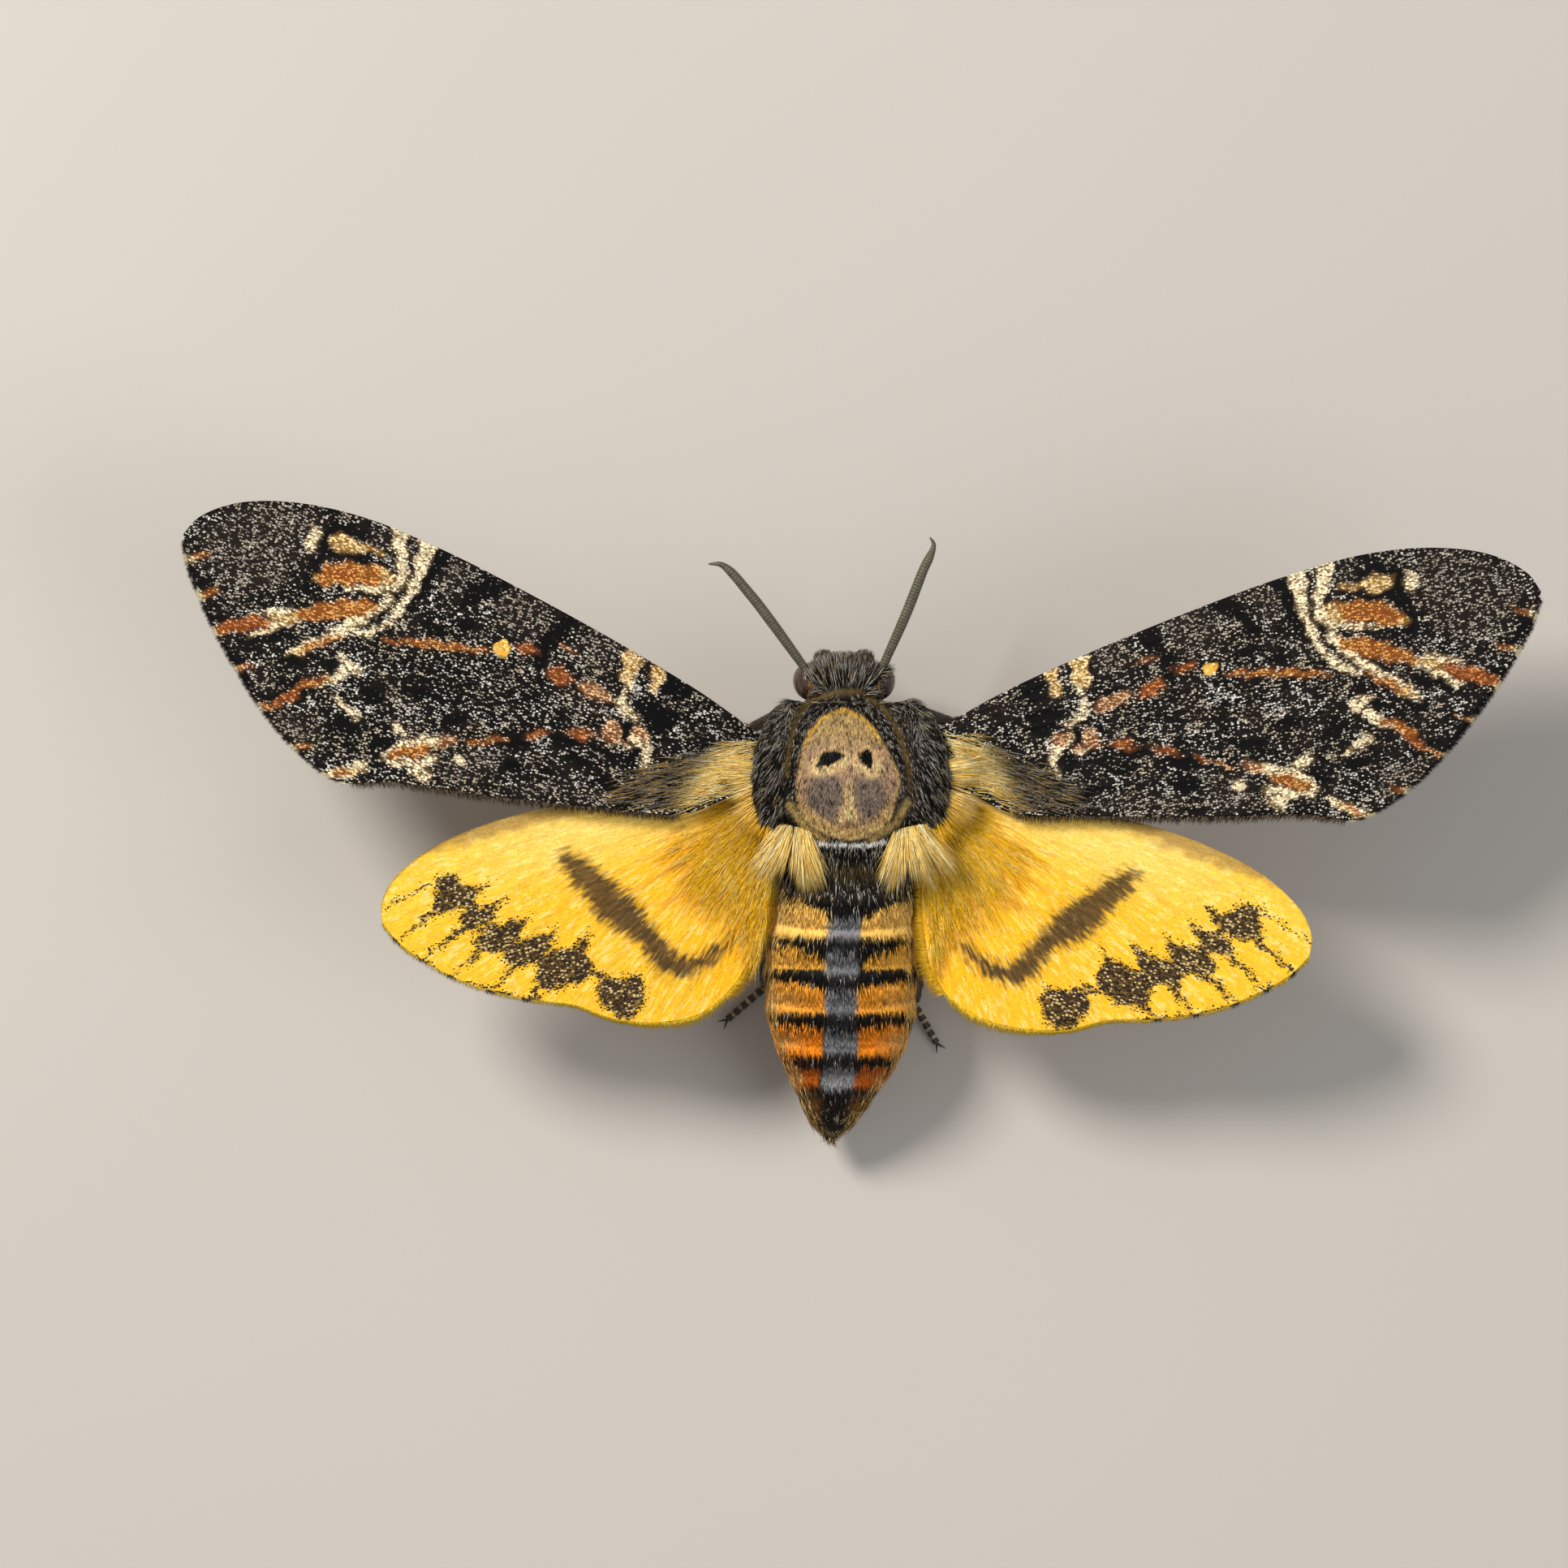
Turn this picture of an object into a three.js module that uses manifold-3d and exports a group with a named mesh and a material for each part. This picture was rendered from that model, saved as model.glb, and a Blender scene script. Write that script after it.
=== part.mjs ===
// A death's-head hawkmoth at life size, standing on its six feet with its four wings spread flat.
// Millimetres, +Z up, +Y towards the head, +X to the moth's right. The floor is z = 0.
import * as THREE from "three";
import { mergeVertices } from "three/addons/utils/BufferGeometryUtils.js";
import Module from "manifold-3d";

const wasm = await Module();
wasm.setup();

// Driving dimensions
const GAP = 0.3;
const WING_THICK = 0.5;
const WING_ROOT_THICK = 1.1;
const WING_RISE_DEG = 7;
const FOREWING_ROOT = { x: 7.58, z: 13.6 };
const FOREWING_ROOT_Y = { l: 1.85, r: 2.55 };
const FOREWING_SWEEP_DEG = { l: 18.66, r: 12.07 };
const HINDWING_ROOT = { x: 6.9, y: -3.5, drop: 1.35 };
const HINDWING_SWEEP_DEG = { l: -14.4, r: -19.6 };
const HINDWING_TUCK = { l: 1.4, r: 0 };
const VEIN_RISE = 0.22;
const VEIN_FLANK = 0.017;
const HEAD_X = -0.6;
const EYE_RADII = [1.3, 1.55, 1.75];
const EYE_AT = { x: 2.9, y: 5.8, z: 10.3 };
const HEAD_BACK = 4.75;
const BODY_FRONT = HEAD_BACK - GAP;
const BODY_CLEARANCE = GAP + 0.08;
const COLLAR_BACK = 2.6;
const THORAX_BACK = -6.9;
const METATHORAX_BACK = -9.6;
const BODY_SIDES = 24;
const FOOT_RADIUS = 0.36;
const FOOT_HEIGHT = 0.27;
const LOCK_THICK = 0.5;

const SIDES = { l: -1, r: 1 };
const radians = THREE.MathUtils.degToRad;
const vec = (x, y, z) => new THREE.Vector3(x, y, z);

const COLOURS = {
  thorax_fur: { color: 0x35322e, roughness: 0.95 },
  abdomen_fur: { color: 0xb8741f, roughness: 0.95 },
  eye: { color: 0x1d1410, roughness: 0.25 },
  antenna: { color: 0x4a4433, roughness: 0.7 },
  forewing: { color: 0x3a3733, roughness: 0.9 },
  hindwing: { color: 0xe0a526, roughness: 0.9 },
  leg: { color: 0x2a211a, roughness: 0.7 },
  tuft: { color: 0xdcb877, roughness: 0.95 },
  tongue: { color: 0x3a2113, roughness: 0.4 },
};

// Closed solids from three.js geometry, and back

function solidOf(geometry) {
  const bare = geometry.clone();
  bare.deleteAttribute("normal");
  bare.deleteAttribute("uv");
  const merged = mergeVertices(bare, 1e-4);
  const mesh = new wasm.Mesh({
    numProp: 3,
    vertProperties: merged.attributes.position.array,
    triVerts: new Uint32Array(merged.index.array),
  });
  return new wasm.Manifold(mesh);
}

function geometryOf(solid) {
  const mesh = solid.getMesh();
  const geometry = new THREE.BufferGeometry();
  geometry.setAttribute("position", new THREE.BufferAttribute(mesh.vertProperties, 3));
  geometry.setIndex(new THREE.BufferAttribute(mesh.triVerts, 1));
  return geometry;
}

function largest(solid) {
  const bodies = solid.decompose();
  return bodies.reduce((best, one) => (one.volume() > best.volume() ? one : best));
}

function joined(pieces) {
  return largest(pieces.reduce((all, one) => all.add(one)));
}

// The same triangles, facing the other way
function turnedOver(faces) {
  const turned = [];
  for (let i = 0; i < faces.length; i += 3) turned.push(faces[i], faces[i + 2], faces[i + 1]);
  return turned;
}

// A closed solid through rings of equal length, closed at each end by a fan about its middle
function solidThrough(rings) {
  const count = rings[0].length;
  const points = rings.flat();
  const faces = [];
  for (let i = 0; i + 1 < rings.length; i++) {
    for (let j = 0; j < count; j++) {
      const a = i * count + j;
      const b = i * count + ((j + 1) % count);
      faces.push(a, b, b + count, a, b + count, a + count);
    }
  }
  for (const [ring, start] of [[rings[0], 0], [rings.at(-1), (rings.length - 1) * count]]) {
    const middle = ring.reduce((sum, p) => sum.add(p), vec(0, 0, 0)).divideScalar(count);
    points.push(middle);
    for (let j = 0; j < count; j++) {
      const pair = [start + j, start + ((j + 1) % count)];
      if (start === 0) pair.reverse();
      faces.push(pair[0], pair[1], points.length - 1);
    }
  }
  const geometry = new THREE.BufferGeometry().setFromPoints(points);
  geometry.setIndex(faces);
  const solid = solidOf(geometry);
  if (solid.volume() > 0) return solid;
  geometry.setIndex(turnedOver(faces));
  return solidOf(geometry);
}

// A tube along a smooth curve. radiusAt gives its half width and half height at a share of its length.
function tube(points, radiusAt, { steps = 8, sides = 8, up = vec(0, 0, 1) } = {}) {
  const curve = new THREE.CatmullRomCurve3(points, false, "centripetal");
  const rings = [];
  for (let i = 0; i <= steps; i++) {
    const share = i / steps;
    const at = curve.getPointAt(share);
    const along = curve.getTangentAt(share);
    const across = along.clone().cross(up).normalize();
    const over = across.clone().cross(along);
    const [wide, high] = radiusAt(share);
    const ring = [];
    for (let j = 0; j < sides; j++) {
      const turn = (j / sides) * 2 * Math.PI;
      const offset = across.clone().multiplyScalar(wide * Math.cos(turn));
      ring.push(at.clone().add(offset).addScaledVector(over, high * Math.sin(turn)));
    }
    rings.push(ring);
  }
  return solidThrough(rings);
}

function ellipsoid(centre, radii, { turn = [0, 0, 0], across = 16, down = 10 } = {}) {
  const ball = new THREE.SphereGeometry(1, across, down);
  const place = new THREE.Matrix4().compose(
    centre,
    new THREE.Quaternion().setFromEuler(new THREE.Euler(...turn.map(radians))),
    vec(...radii),
  );
  return solidOf(ball.applyMatrix4(place));
}

// Head, thorax and abdomen: one smooth form through a few sections, parted by thin cuts

// Each section: y, then the middle's x and z, the half width, and the reach up and down
const SECTIONS = [
  [5.6, -0.55, 10.7, 2.9, 2.6, 2.4],
  [4.6, -0.5, 10.8, 4.1, 3.8, 3.5],
  [3.6, -0.4, 10.9, 5.2, 5.0, 4.7],
  [2.4, -0.2, 11.0, 6.1, 6.1, 5.8],
  [0, 0, 11.0, 6.9, 7.0, 6.8],
  [-2.5, 0, 11.0, 7.0, 7.2, 7.0],
  [-5, 0, 10.9, 6.5, 6.6, 6.5],
  [-7.2, -0.1, 10.7, 5.9, 5.5, 6.0],
  [-9.5, -0.3, 10.4, 5.7, 4.9, 5.5],
  [-12, -0.5, 10.0, 5.8, 5.0, 5.3],
  [-15, -0.8, 9.3, 6.15, 5.2, 5.3],
  [-18, -0.85, 8.5, 6.2, 5.2, 5.2],
  [-21, -0.85, 7.5, 5.9, 4.8, 4.8],
  [-24, -0.9, 6.3, 4.9, 4.0, 4.0],
  [-26.2, -1.1, 5.4, 3.7, 3.1, 3.1],
  [-28.2, -1.35, 4.5, 2.5, 2.2, 2.2],
  [-30.4, -1.6, 3.6, 1.4, 1.3, 1.3],
];
const SPINE = new THREE.CatmullRomCurve3(SECTIONS.map(([y, x, z]) => vec(x, y, z)));
const GIRTH = new THREE.CatmullRomCurve3(SECTIONS.map((s) => vec(s[3], s[4], s[5])));

// The place along the spine, from 0 to 1, whose y is nearest the one asked for
function spineShare(y) {
  let [low, high] = [0, 1];
  for (let i = 0; i < 30; i++) {
    const middle = (low + high) / 2;
    if (SPINE.getPoint(middle).y > y) low = middle;
    else high = middle;
  }
  return low;
}

function bodyRing(share, grow, swell, onward) {
  const girth = GIRTH.getPoint(share);
  const along = SPINE.getTangent(share).setX(0).normalize();
  const at = SPINE.getPoint(share).addScaledVector(along, onward);
  const across = vec(0, 0, 1).cross(along).normalize();
  const over = along.clone().cross(across);
  const ring = [];
  for (let j = 0; j < BODY_SIDES; j++) {
    const turn = (j / BODY_SIDES) * 2 * Math.PI;
    const reach = Math.sin(turn) > 0 ? girth.y : girth.z;
    const offset = across.clone().multiplyScalar((girth.x * swell + grow) * Math.cos(turn));
    ring.push(at.clone().add(offset).addScaledVector(over, (reach * swell + grow) * Math.sin(turn)));
  }
  return ring;
}

// A length of the body. Its front face is its neighbour's back face, moved on by the gap.
function bodyLength(frontY, backY, steps, { grow = 0, swell = () => 1 } = {}) {
  const [front, back] = [spineShare(frontY), spineShare(backY)];
  const rings = [];
  for (let i = 0; i <= steps; i++) {
    const share = i / steps;
    const onward = i === 0 ? GAP : 0;
    rings.push(bodyRing(front + (back - front) * share, grow, swell(share), onward));
  }
  return solidThrough(rings);
}

const behind = (solid, y) => solid.trimByPlane([0, -1, 0], -y);
const WHOLE_BODY = behind(bodyLength(5.5, -30.4, 36, { grow: BODY_CLEARANCE }), HEAD_BACK);

const parts = new Map();
parts.set("thorax", [bodyLength(COLLAR_BACK, THORAX_BACK, 8), "thorax_fur"]);
parts.set("metathorax", [bodyLength(THORAX_BACK, METATHORAX_BACK, 3), "thorax_fur"]);

// The abdomen's rings are each a little wider at the back, where their scales stand out
const RING_BACKS = [-12.3, -15.2, -18.2, -21.2, -24.1, -26.7];
let ringFront = METATHORAX_BACK;
RING_BACKS.forEach((back, i) => {
  const swell = (share) => 0.985 + 0.03 * Math.sin(share * Math.PI * 0.75);
  parts.set(`abdomen_${i + 1}`, [bodyLength(ringFront, back, 3, { swell }), "abdomen_fur"]);
  ringFront = back;
});
const tipSwell = (share) => 1 - 0.62 * Math.max(0, share - 0.55) ** 1.5 / 0.45 ** 1.5;
const tip = bodyLength(ringFront, -30.4, 6, { swell: tipSwell });
parts.set("abdomen_tip", [tip, "abdomen_fur"]);

// The tegulae: a curved plate of scales over each shoulder
const tegulaOf = (side, grow) =>
  ellipsoid(vec(side * 5.15 - 0.1, -1.3, 12.6), [2.9 + grow, 6.1 + grow, 4.7 + grow], {
    turn: [0, side * 18, side * 7],
    across: 16,
    down: 10,
  });
const GROWN_TEGULAE = [-1, 1].map((side) => tegulaOf(side, GAP));
for (const [letter, side] of Object.entries(SIDES)) {
  const tegula = largest(tegulaOf(side, 0).subtract(WHOLE_BODY).trimByPlane([0, 0, 1], 9.6));
  parts.set(`tegula_${letter}`, [tegula, "thorax_fur"]);
}

// The head, with a socket for each eye
const HEAD_SECTIONS = [
  [HEAD_BACK, 3.5, 3.3, 3.1],
  [5.6, 3.55, 3.4, 3.3],
  [6.4, 3.1, 3.1, 3.2],
  [7.0, 2.4, 2.5, 2.8],
  [7.4, 1.4, 1.6, 1.9],
];
function headForm(grow) {
  const rings = HEAD_SECTIONS.map(([y, wide, up, down], i) => {
    const pushed = i === HEAD_SECTIONS.length - 1 ? y + grow : y;
    const ring = [];
    for (let j = 0; j < BODY_SIDES; j++) {
      const turn = (j / BODY_SIDES) * 2 * Math.PI;
      const reach = (Math.sin(turn) > 0 ? up : down) + grow;
      const x = HEAD_X + (wide + grow) * Math.cos(turn);
      ring.push(vec(x, pushed, EYE_AT.z + reach * Math.sin(turn)));
    }
    return ring;
  });
  return solidThrough(rings);
}
const GROWN_HEAD = headForm(1.4 * GAP);
const eyeOf = (side, grow) =>
  ellipsoid(
    vec(HEAD_X + side * EYE_AT.x, EYE_AT.y, EYE_AT.z),
    EYE_RADII.map((r) => r + grow),
    { turn: [0, 0, side * -14], across: 14, down: 8 },
  );
const antennaRoot = (side) => vec(HEAD_X + side * 2.75, 6.35, 12.3);
let head = headForm(0);
let collar = behind(bodyLength(BODY_FRONT + 1, COLLAR_BACK, 4), BODY_FRONT);
for (const side of Object.values(SIDES)) {
  head = head.add(ellipsoid(antennaRoot(side), [0.62, 0.62, 0.62], { across: 10, down: 6 }));
}
for (const side of Object.values(SIDES)) {
  head = head.subtract(eyeOf(side, GAP));
  collar = collar.subtract(eyeOf(side, GAP));
}
parts.set("head", [largest(head), "thorax_fur"]);
parts.set("collar", [largest(collar), "thorax_fur"]);
for (const [letter, side] of Object.entries(SIDES)) {
  parts.set(`eye_${letter}`, [eyeOf(side, 0), "eye"]);
}

// The antennae: thick ringed rods that end in a fine hook
const ANTENNA_TIPS = {
  l: [vec(-6.3, 10.4, 13.6), vec(-8.0, 12.6, 14.1), vec(-10.2, 14.9, 14.5), vec(-11.3, 15.0, 14.5)],
  r: [vec(4.3, 11.2, 13.9), vec(5.5, 14.3, 14.5), vec(6.4, 16.5, 14.8), vec(6.1, 17.1, 14.8)],
};
const ANTENNA_RINGS = 18;
function antenna(letter) {
  const side = SIDES[letter];
  const root = antennaRoot(side);
  const towards = ANTENNA_TIPS[letter][0].clone().sub(root).normalize();
  const start = root.clone().addScaledVector(towards, 0.62 + GAP);
  const radiusAt = (share) => {
    const ringed = share < 0.8 ? 0.025 * (Math.round(share * ANTENNA_RINGS * 2) % 2 ? 1 : -1) : 0;
    const taper = Math.min(1, Math.max(0, (1 - share) / 0.16)) ** 0.8;
    const r = 0.09 + (0.24 + 0.09 * Math.sin(share * Math.PI)) * taper + ringed;
    return [r, r];
  };
  return tube([start, ...ANTENNA_TIPS[letter]], radiusAt, { steps: ANTENNA_RINGS * 2, sides: 6 });
}
for (const letter of Object.keys(SIDES)) parts.set(`antenna_${letter}`, [antenna(letter), "antenna"]);

// The mouth: two scaled palps against the face, with the short tongue coiled between them
for (const [letter, side] of Object.entries(SIDES)) {
  const x = (out) => HEAD_X + side * out;
  const path = [vec(x(1.6), 6.0, 6.9), vec(x(1.65), 7.4, 8.2), vec(x(1.5), 7.75, 10.0), vec(x(1.2), 7.6, 11.6)];
  const radiusAt = (share) => {
    const r = 0.55 + 0.45 * Math.sin(Math.PI * (0.15 + share * 0.7)) - 0.2 * share;
    return [r * 0.8, r];
  };
  const palp = tube(path, radiusAt, { steps: 8, sides: 10, up: vec(1, 0, 0) });
  parts.set(`palp_${letter}`, [largest(palp.subtract(GROWN_HEAD)), "thorax_fur"]);
}
const coil = new THREE.TorusGeometry(0.95, 0.33, 8, 20);
coil.applyMatrix4(new THREE.Matrix4().makeRotationY(Math.PI / 2).setPosition(HEAD_X, 7.1, 7.1));
parts.set("tongue", [largest(solidOf(coil).subtract(GROWN_HEAD)), "tongue"]);

// The wings: each is a patch between four edges, with the veins raised in its own surface.
// Edges are in the wing's own plane: out along the span, then forwards across it.

const FOREWING_EDGES = {
  lead: [[-1.6, -0.4], [0, 0], [5, 1.5], [12.5, 3.15], [20, 4.5], [28, 5.65], [34.5, 6.05], [40, 5.4],
    [44.2, 3.9], [46.6, 1.9], [47.3, 0.3]],
  outer: [[47.3, 0.3], [46.2, -1.7], [44.4, -3.9], [42, -6.4], [39.5, -8.6], [36.6, -10.9], [33.4, -12.8],
    [30.6, -13.9], [29, -14.1]],
  inner: [[-1.6, -3.9], [0.3, -5.6], [3.2, -7.9], [9.4, -9.5], [15.5, -10.9], [21.9, -12.15], [25.8, -12.9],
    [29, -14.1]],
};
const HINDWING_EDGES = {
  lead: [[-1.8, 0.5], [0, 0.6], [5, 1.9], [11, 2.9], [16.5, 3.6], [21, 3.6], [25.5, 3.0], [28, 2.1],
    [29.9, 1.0], [31.1, -0.5], [31.4, -1.9]],
  outer: [[31.4, -1.9], [30.5, -3.8], [28.8, -5.8], [26.6, -7.8], [23.8, -9.6], [20.8, -11], [18.4, -11.9],
    [15.6, -13.7], [12, -14.9], [8.2, -15.1], [5.5, -14.2]],
  inner: [[-1.8, -2.4], [-0.2, -3.2], [0.5, -5.2], [1.2, -7.6], [2.7, -10.8], [3.9, -12.8], [5.5, -14.2]],
};
// Each vein: its share of the way from the leading to the inner edge, and where along it it starts
const FOREWING_VEINS = [[0.07, 0], [0.16, 0], [0.26, 0.4], [0.36, 0.44], [0.46, 0.44], [0.57, 0.44],
  [0.69, 0], [0.81, 0.3], [0.93, 0]];
const HINDWING_VEINS = [[0.09, 0], [0.22, 0], [0.35, 0.42], [0.47, 0.44], [0.59, 0.42], [0.71, 0],
  [0.82, 0.25], [0.93, 0]];
const SPAN_STEPS = 11;
const TIPWARD = 1.2;

function edgeCurve(points) {
  return new THREE.CatmullRomCurve3(points.map(([x, y]) => vec(x, y, 0)), false, "centripetal");
}

// A point of the patch: share along the span, and across it from the leading edge
function patchPoint(edges, along, across) {
  const lead = edges.lead.getPointAt(along);
  const inner = edges.inner.getPointAt(along);
  const outer = edges.outer.getPointAt(across);
  const [rootLead, rootInner] = [edges.lead.getPointAt(0), edges.inner.getPointAt(0)];
  const [apex, tornus] = [edges.lead.getPointAt(1), edges.inner.getPointAt(1)];
  const root = rootLead.clone().lerp(rootInner, across);
  const ruled = lead.lerp(inner, across).add(root.lerp(outer, along));
  const corners = rootLead.clone().lerp(rootInner, across).lerp(apex.lerp(tornus, across), along);
  return ruled.sub(corners);
}

// The height of the wings' middle surface over a point of the plan
function wingHeight(x, y, drop) {
  const out = Math.abs(x) - FOREWING_ROOT.x;
  const arch = 0.0011 * out * (46 - out);
  return FOREWING_ROOT.z + out * Math.tan(radians(WING_RISE_DEG)) + arch - drop - 0.0035 * (y + 4) ** 2;
}

// The solid of one wing. The tuck draws its inner corner outwards, and grow thickens it all round.
function wingSolid({ edges, veins, root, sweepDeg, side, drop, tuck = 0, grow = 0 }) {
  const curves = Object.fromEntries(Object.entries(edges).map(([k, v]) => [k, edgeCurve(v)]));
  const lines = [[0, 0]];
  for (const [across, from] of veins) {
    lines.push([across - VEIN_FLANK, 0]);
    lines.push([across, 1, from]);
    lines.push([across + VEIN_FLANK, 0]);
  }
  lines.push([1, 0]);
  const turn = radians(sweepDeg);
  const [top, bottom] = [[], []];
  for (let i = 0; i <= SPAN_STEPS; i++) {
    const along = 1 - (1 - i / SPAN_STEPS) ** TIPWARD;
    for (const [across, raised, from] of lines) {
      const p = patchPoint(curves, along, across);
      p.x += tuck * along * across ** 4;
      if (across === 0) p.y += grow;
      if (across === 1) p.y -= grow;
      const x = side * (root.x + p.x * Math.cos(turn) - p.y * Math.sin(turn));
      const y = root.y + p.x * Math.sin(turn) + p.y * Math.cos(turn);
      const z = wingHeight(x, y, drop);
      const half = (WING_THICK + (WING_ROOT_THICK - WING_THICK) * (1 - along) ** 5) / 2 + grow;
      const fade = Math.min(1, along * 5) * (1 - 0.4 * along);
      const vein = raised && along >= from && i < SPAN_STEPS ? VEIN_RISE * fade : 0;
      top.push(vec(x, y, z + half + vein));
      bottom.push(vec(x, y, z - half - vein * 0.5));
    }
  }
  const across = lines.length;
  const under = top.length;
  const faces = [];
  const quad = (a, b, c, d) => faces.push(a, b, c, a, c, d);
  for (let i = 0; i < SPAN_STEPS; i++) {
    for (let j = 0; j + 1 < across; j++) {
      const a = i * across + j;
      const [b, c, d] = [a + 1, a + across + 1, a + across];
      quad(a, b, c, d);
      faces.push(under + a, under + c, under + b, under + a, under + d, under + c);
    }
  }
  const rim = [];
  for (let j = 0; j + 1 < across; j++) rim.push(j);
  for (let i = 0; i < SPAN_STEPS; i++) rim.push(i * across + across - 1);
  for (let j = across - 1; j > 0; j--) rim.push(SPAN_STEPS * across + j);
  for (let i = SPAN_STEPS; i > 0; i--) rim.push(i * across);
  rim.forEach((a, k) => {
    const b = rim[(k + 1) % rim.length];
    quad(b, a, under + a, under + b);
  });
  const geometry = new THREE.BufferGeometry().setFromPoints([...top, ...bottom]);
  geometry.setIndex(side < 0 ? turnedOver(faces) : faces);
  return solidOf(geometry);
}

const GROWN_WINGS = {};
for (const [letter, side] of Object.entries(SIDES)) {
  const wings = {
    forewing: {
      edges: FOREWING_EDGES,
      veins: FOREWING_VEINS,
      root: { x: FOREWING_ROOT.x, y: FOREWING_ROOT_Y[letter] },
      sweepDeg: FOREWING_SWEEP_DEG[letter],
      side,
      drop: 0,
    },
    hindwing: {
      edges: HINDWING_EDGES,
      veins: HINDWING_VEINS,
      root: HINDWING_ROOT,
      sweepDeg: HINDWING_SWEEP_DEG[letter],
      side,
      drop: HINDWING_ROOT.drop,
      tuck: HINDWING_TUCK[letter],
    },
  };
  GROWN_WINGS[letter] = [];
  for (const [name, wing] of Object.entries(wings)) {
    let solid = wingSolid(wing).subtract(WHOLE_BODY);
    for (const tegula of GROWN_TEGULAE) solid = solid.subtract(tegula);
    parts.set(`${name}_${letter}`, [largest(solid), name]);
    GROWN_WINGS[letter].push(wingSolid({ ...wing, grow: GAP }));
  }
}

// The tufts: pale locks that fan over each wing's base and down each side of the metathorax
function lock(root, mid, end, width) {
  const radiusAt = (share) => {
    const taper = Math.sqrt(Math.max(0.02, 1 - share ** 2.2));
    return [(width / 2) * taper * (0.7 + 0.6 * share * (1 - share)), (LOCK_THICK / 2) * (1 - 0.5 * share)];
  };
  return tube([root, mid, end], radiusAt, { steps: 3, sides: 6 });
}

function wingTuft(side) {
  const core = ellipsoid(vec(side * 7.0, -2.6, 14.1), [1.3, 2.4, 0.9], { across: 12, down: 8 });
  const locks = [];
  const count = 6;
  for (let i = 0; i < count; i++) {
    const share = i / (count - 1);
    const heading = radians(16 - 92 * share);
    const length = 4.3 + 1.1 * Math.sin(share * Math.PI) + 0.35 * (i % 2);
    const root = vec(side * 7.0, -1.2 - 3.0 * share, 14.1);
    const reach = (far, rise) =>
      vec(root.x + side * length * far * Math.cos(heading), root.y + length * far * Math.sin(heading), root.z + rise);
    locks.push(lock(root, reach(0.5, 0.75), reach(1, 0.62 - 0.25 * share), 2.2));
  }
  return joined([core, ...locks]);
}

function sideTuft(side) {
  const core = ellipsoid(vec(side * 4.2, -6.9, 15.2), [1.3, 1.2, 1.0], { turn: [0, side * 35, 0], across: 12, down: 8 });
  const locks = [];
  const count = 6;
  for (let i = 0; i < count; i++) {
    const share = i / (count - 1);
    const heading = radians(-108 + 52 * share);
    const length = 4.6 + 0.5 * Math.sin(share * Math.PI) - 0.4 * (i % 2);
    const root = vec(side * (3.6 + 1.5 * share), -6.6, 15.5 - 0.9 * share);
    const reach = (far, rise) =>
      vec(root.x + side * length * far * Math.cos(heading), root.y + length * far * Math.sin(heading), root.z + rise);
    locks.push(lock(root, reach(0.5, 0.1), reach(1, -0.55), 1.3));
  }
  return joined([core, ...locks]);
}

for (const [letter, side] of Object.entries(SIDES)) {
  let over = wingTuft(side).subtract(WHOLE_BODY);
  for (const grown of [...GROWN_WINGS[letter], ...GROWN_TEGULAE]) over = over.subtract(grown);
  parts.set(`tuft_wing_${letter}`, [largest(over), "tuft"]);
  let beside = sideTuft(side).subtract(WHOLE_BODY);
  for (const grown of [...GROWN_WINGS[letter], ...GROWN_TEGULAE]) beside = beside.subtract(grown);
  parts.set(`tuft_side_${letter}`, [largest(beside), "tuft"]);
}

// The legs: hip, knee, ankle and toe of each, parted at the knee and the ankle

const LEGS = {
  front_l: [[-2.0, 2.4, 6.2], [-5.4, 3.3, 5.3], [-8.0, 2.2, 1.1], [-11.3, 2.7, FOOT_HEIGHT]],
  front_r: [[1.6, 2.4, 6.2], [5.3, 3.4, 5.3], [8.0, 2.7, 1.1], [11.4, 3.4, FOOT_HEIGHT]],
  middle_l: [[-2.3, -1.6, 5.0], [-6.6, -2.8, 5.2], [-9.9, -4.4, 1.1], [-13.4, -6.2, FOOT_HEIGHT]],
  middle_r: [[2.3, -1.6, 5.0], [6.6, -3.2, 5.2], [9.8, -5.0, 1.1], [13.1, -7.0, FOOT_HEIGHT]],
  hind_l: [[-2.5, -5.4, 5.2], [-6.6, -10.2, 4.9], [-6.9, -18.6, 1.1], [-9.9, -21.2, FOOT_HEIGHT]],
  hind_r: [[2.4, -5.4, 5.2], [6.3, -10.6, 4.9], [5.1, -20.0, 1.1], [6.9, -23.1, FOOT_HEIGHT]],
};
const SPURS = { front: 0, middle: 1, hind: 2 };

// A straight limb between two joints, with the ends cut square to the bend so that neighbours meet
function limb(from, to, radii, steps, sides) {
  const radiusAt = (share) => {
    const r = radii[0] + (radii[1] - radii[0]) * share + radii[2] * Math.sin(share * Math.PI);
    return [r, r];
  };
  const middle = from.clone().lerp(to, 0.5).add(vec(0, 0, 0.15));
  return tube([from, middle, to], radiusAt, { steps, sides });
}

function bendPlane(before, joint, after) {
  const along = joint.clone().sub(before).normalize();
  return along.add(after.clone().sub(joint).normalize()).normalize();
}

function cutFront(solid, normal, joint) {
  return solid.trimByPlane(normal.clone().negate().toArray(), -normal.dot(joint) + GAP / 2);
}

function cutBack(solid, normal, joint) {
  return solid.trimByPlane(normal.toArray(), normal.dot(joint) + GAP / 2);
}

function spur(at, towards, length) {
  const end = at.clone().addScaledVector(towards, length);
  return tube([at, at.clone().lerp(end, 0.5), end], (s) => [0.2 - 0.14 * s, 0.2 - 0.14 * s], { steps: 2, sides: 5 });
}

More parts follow.
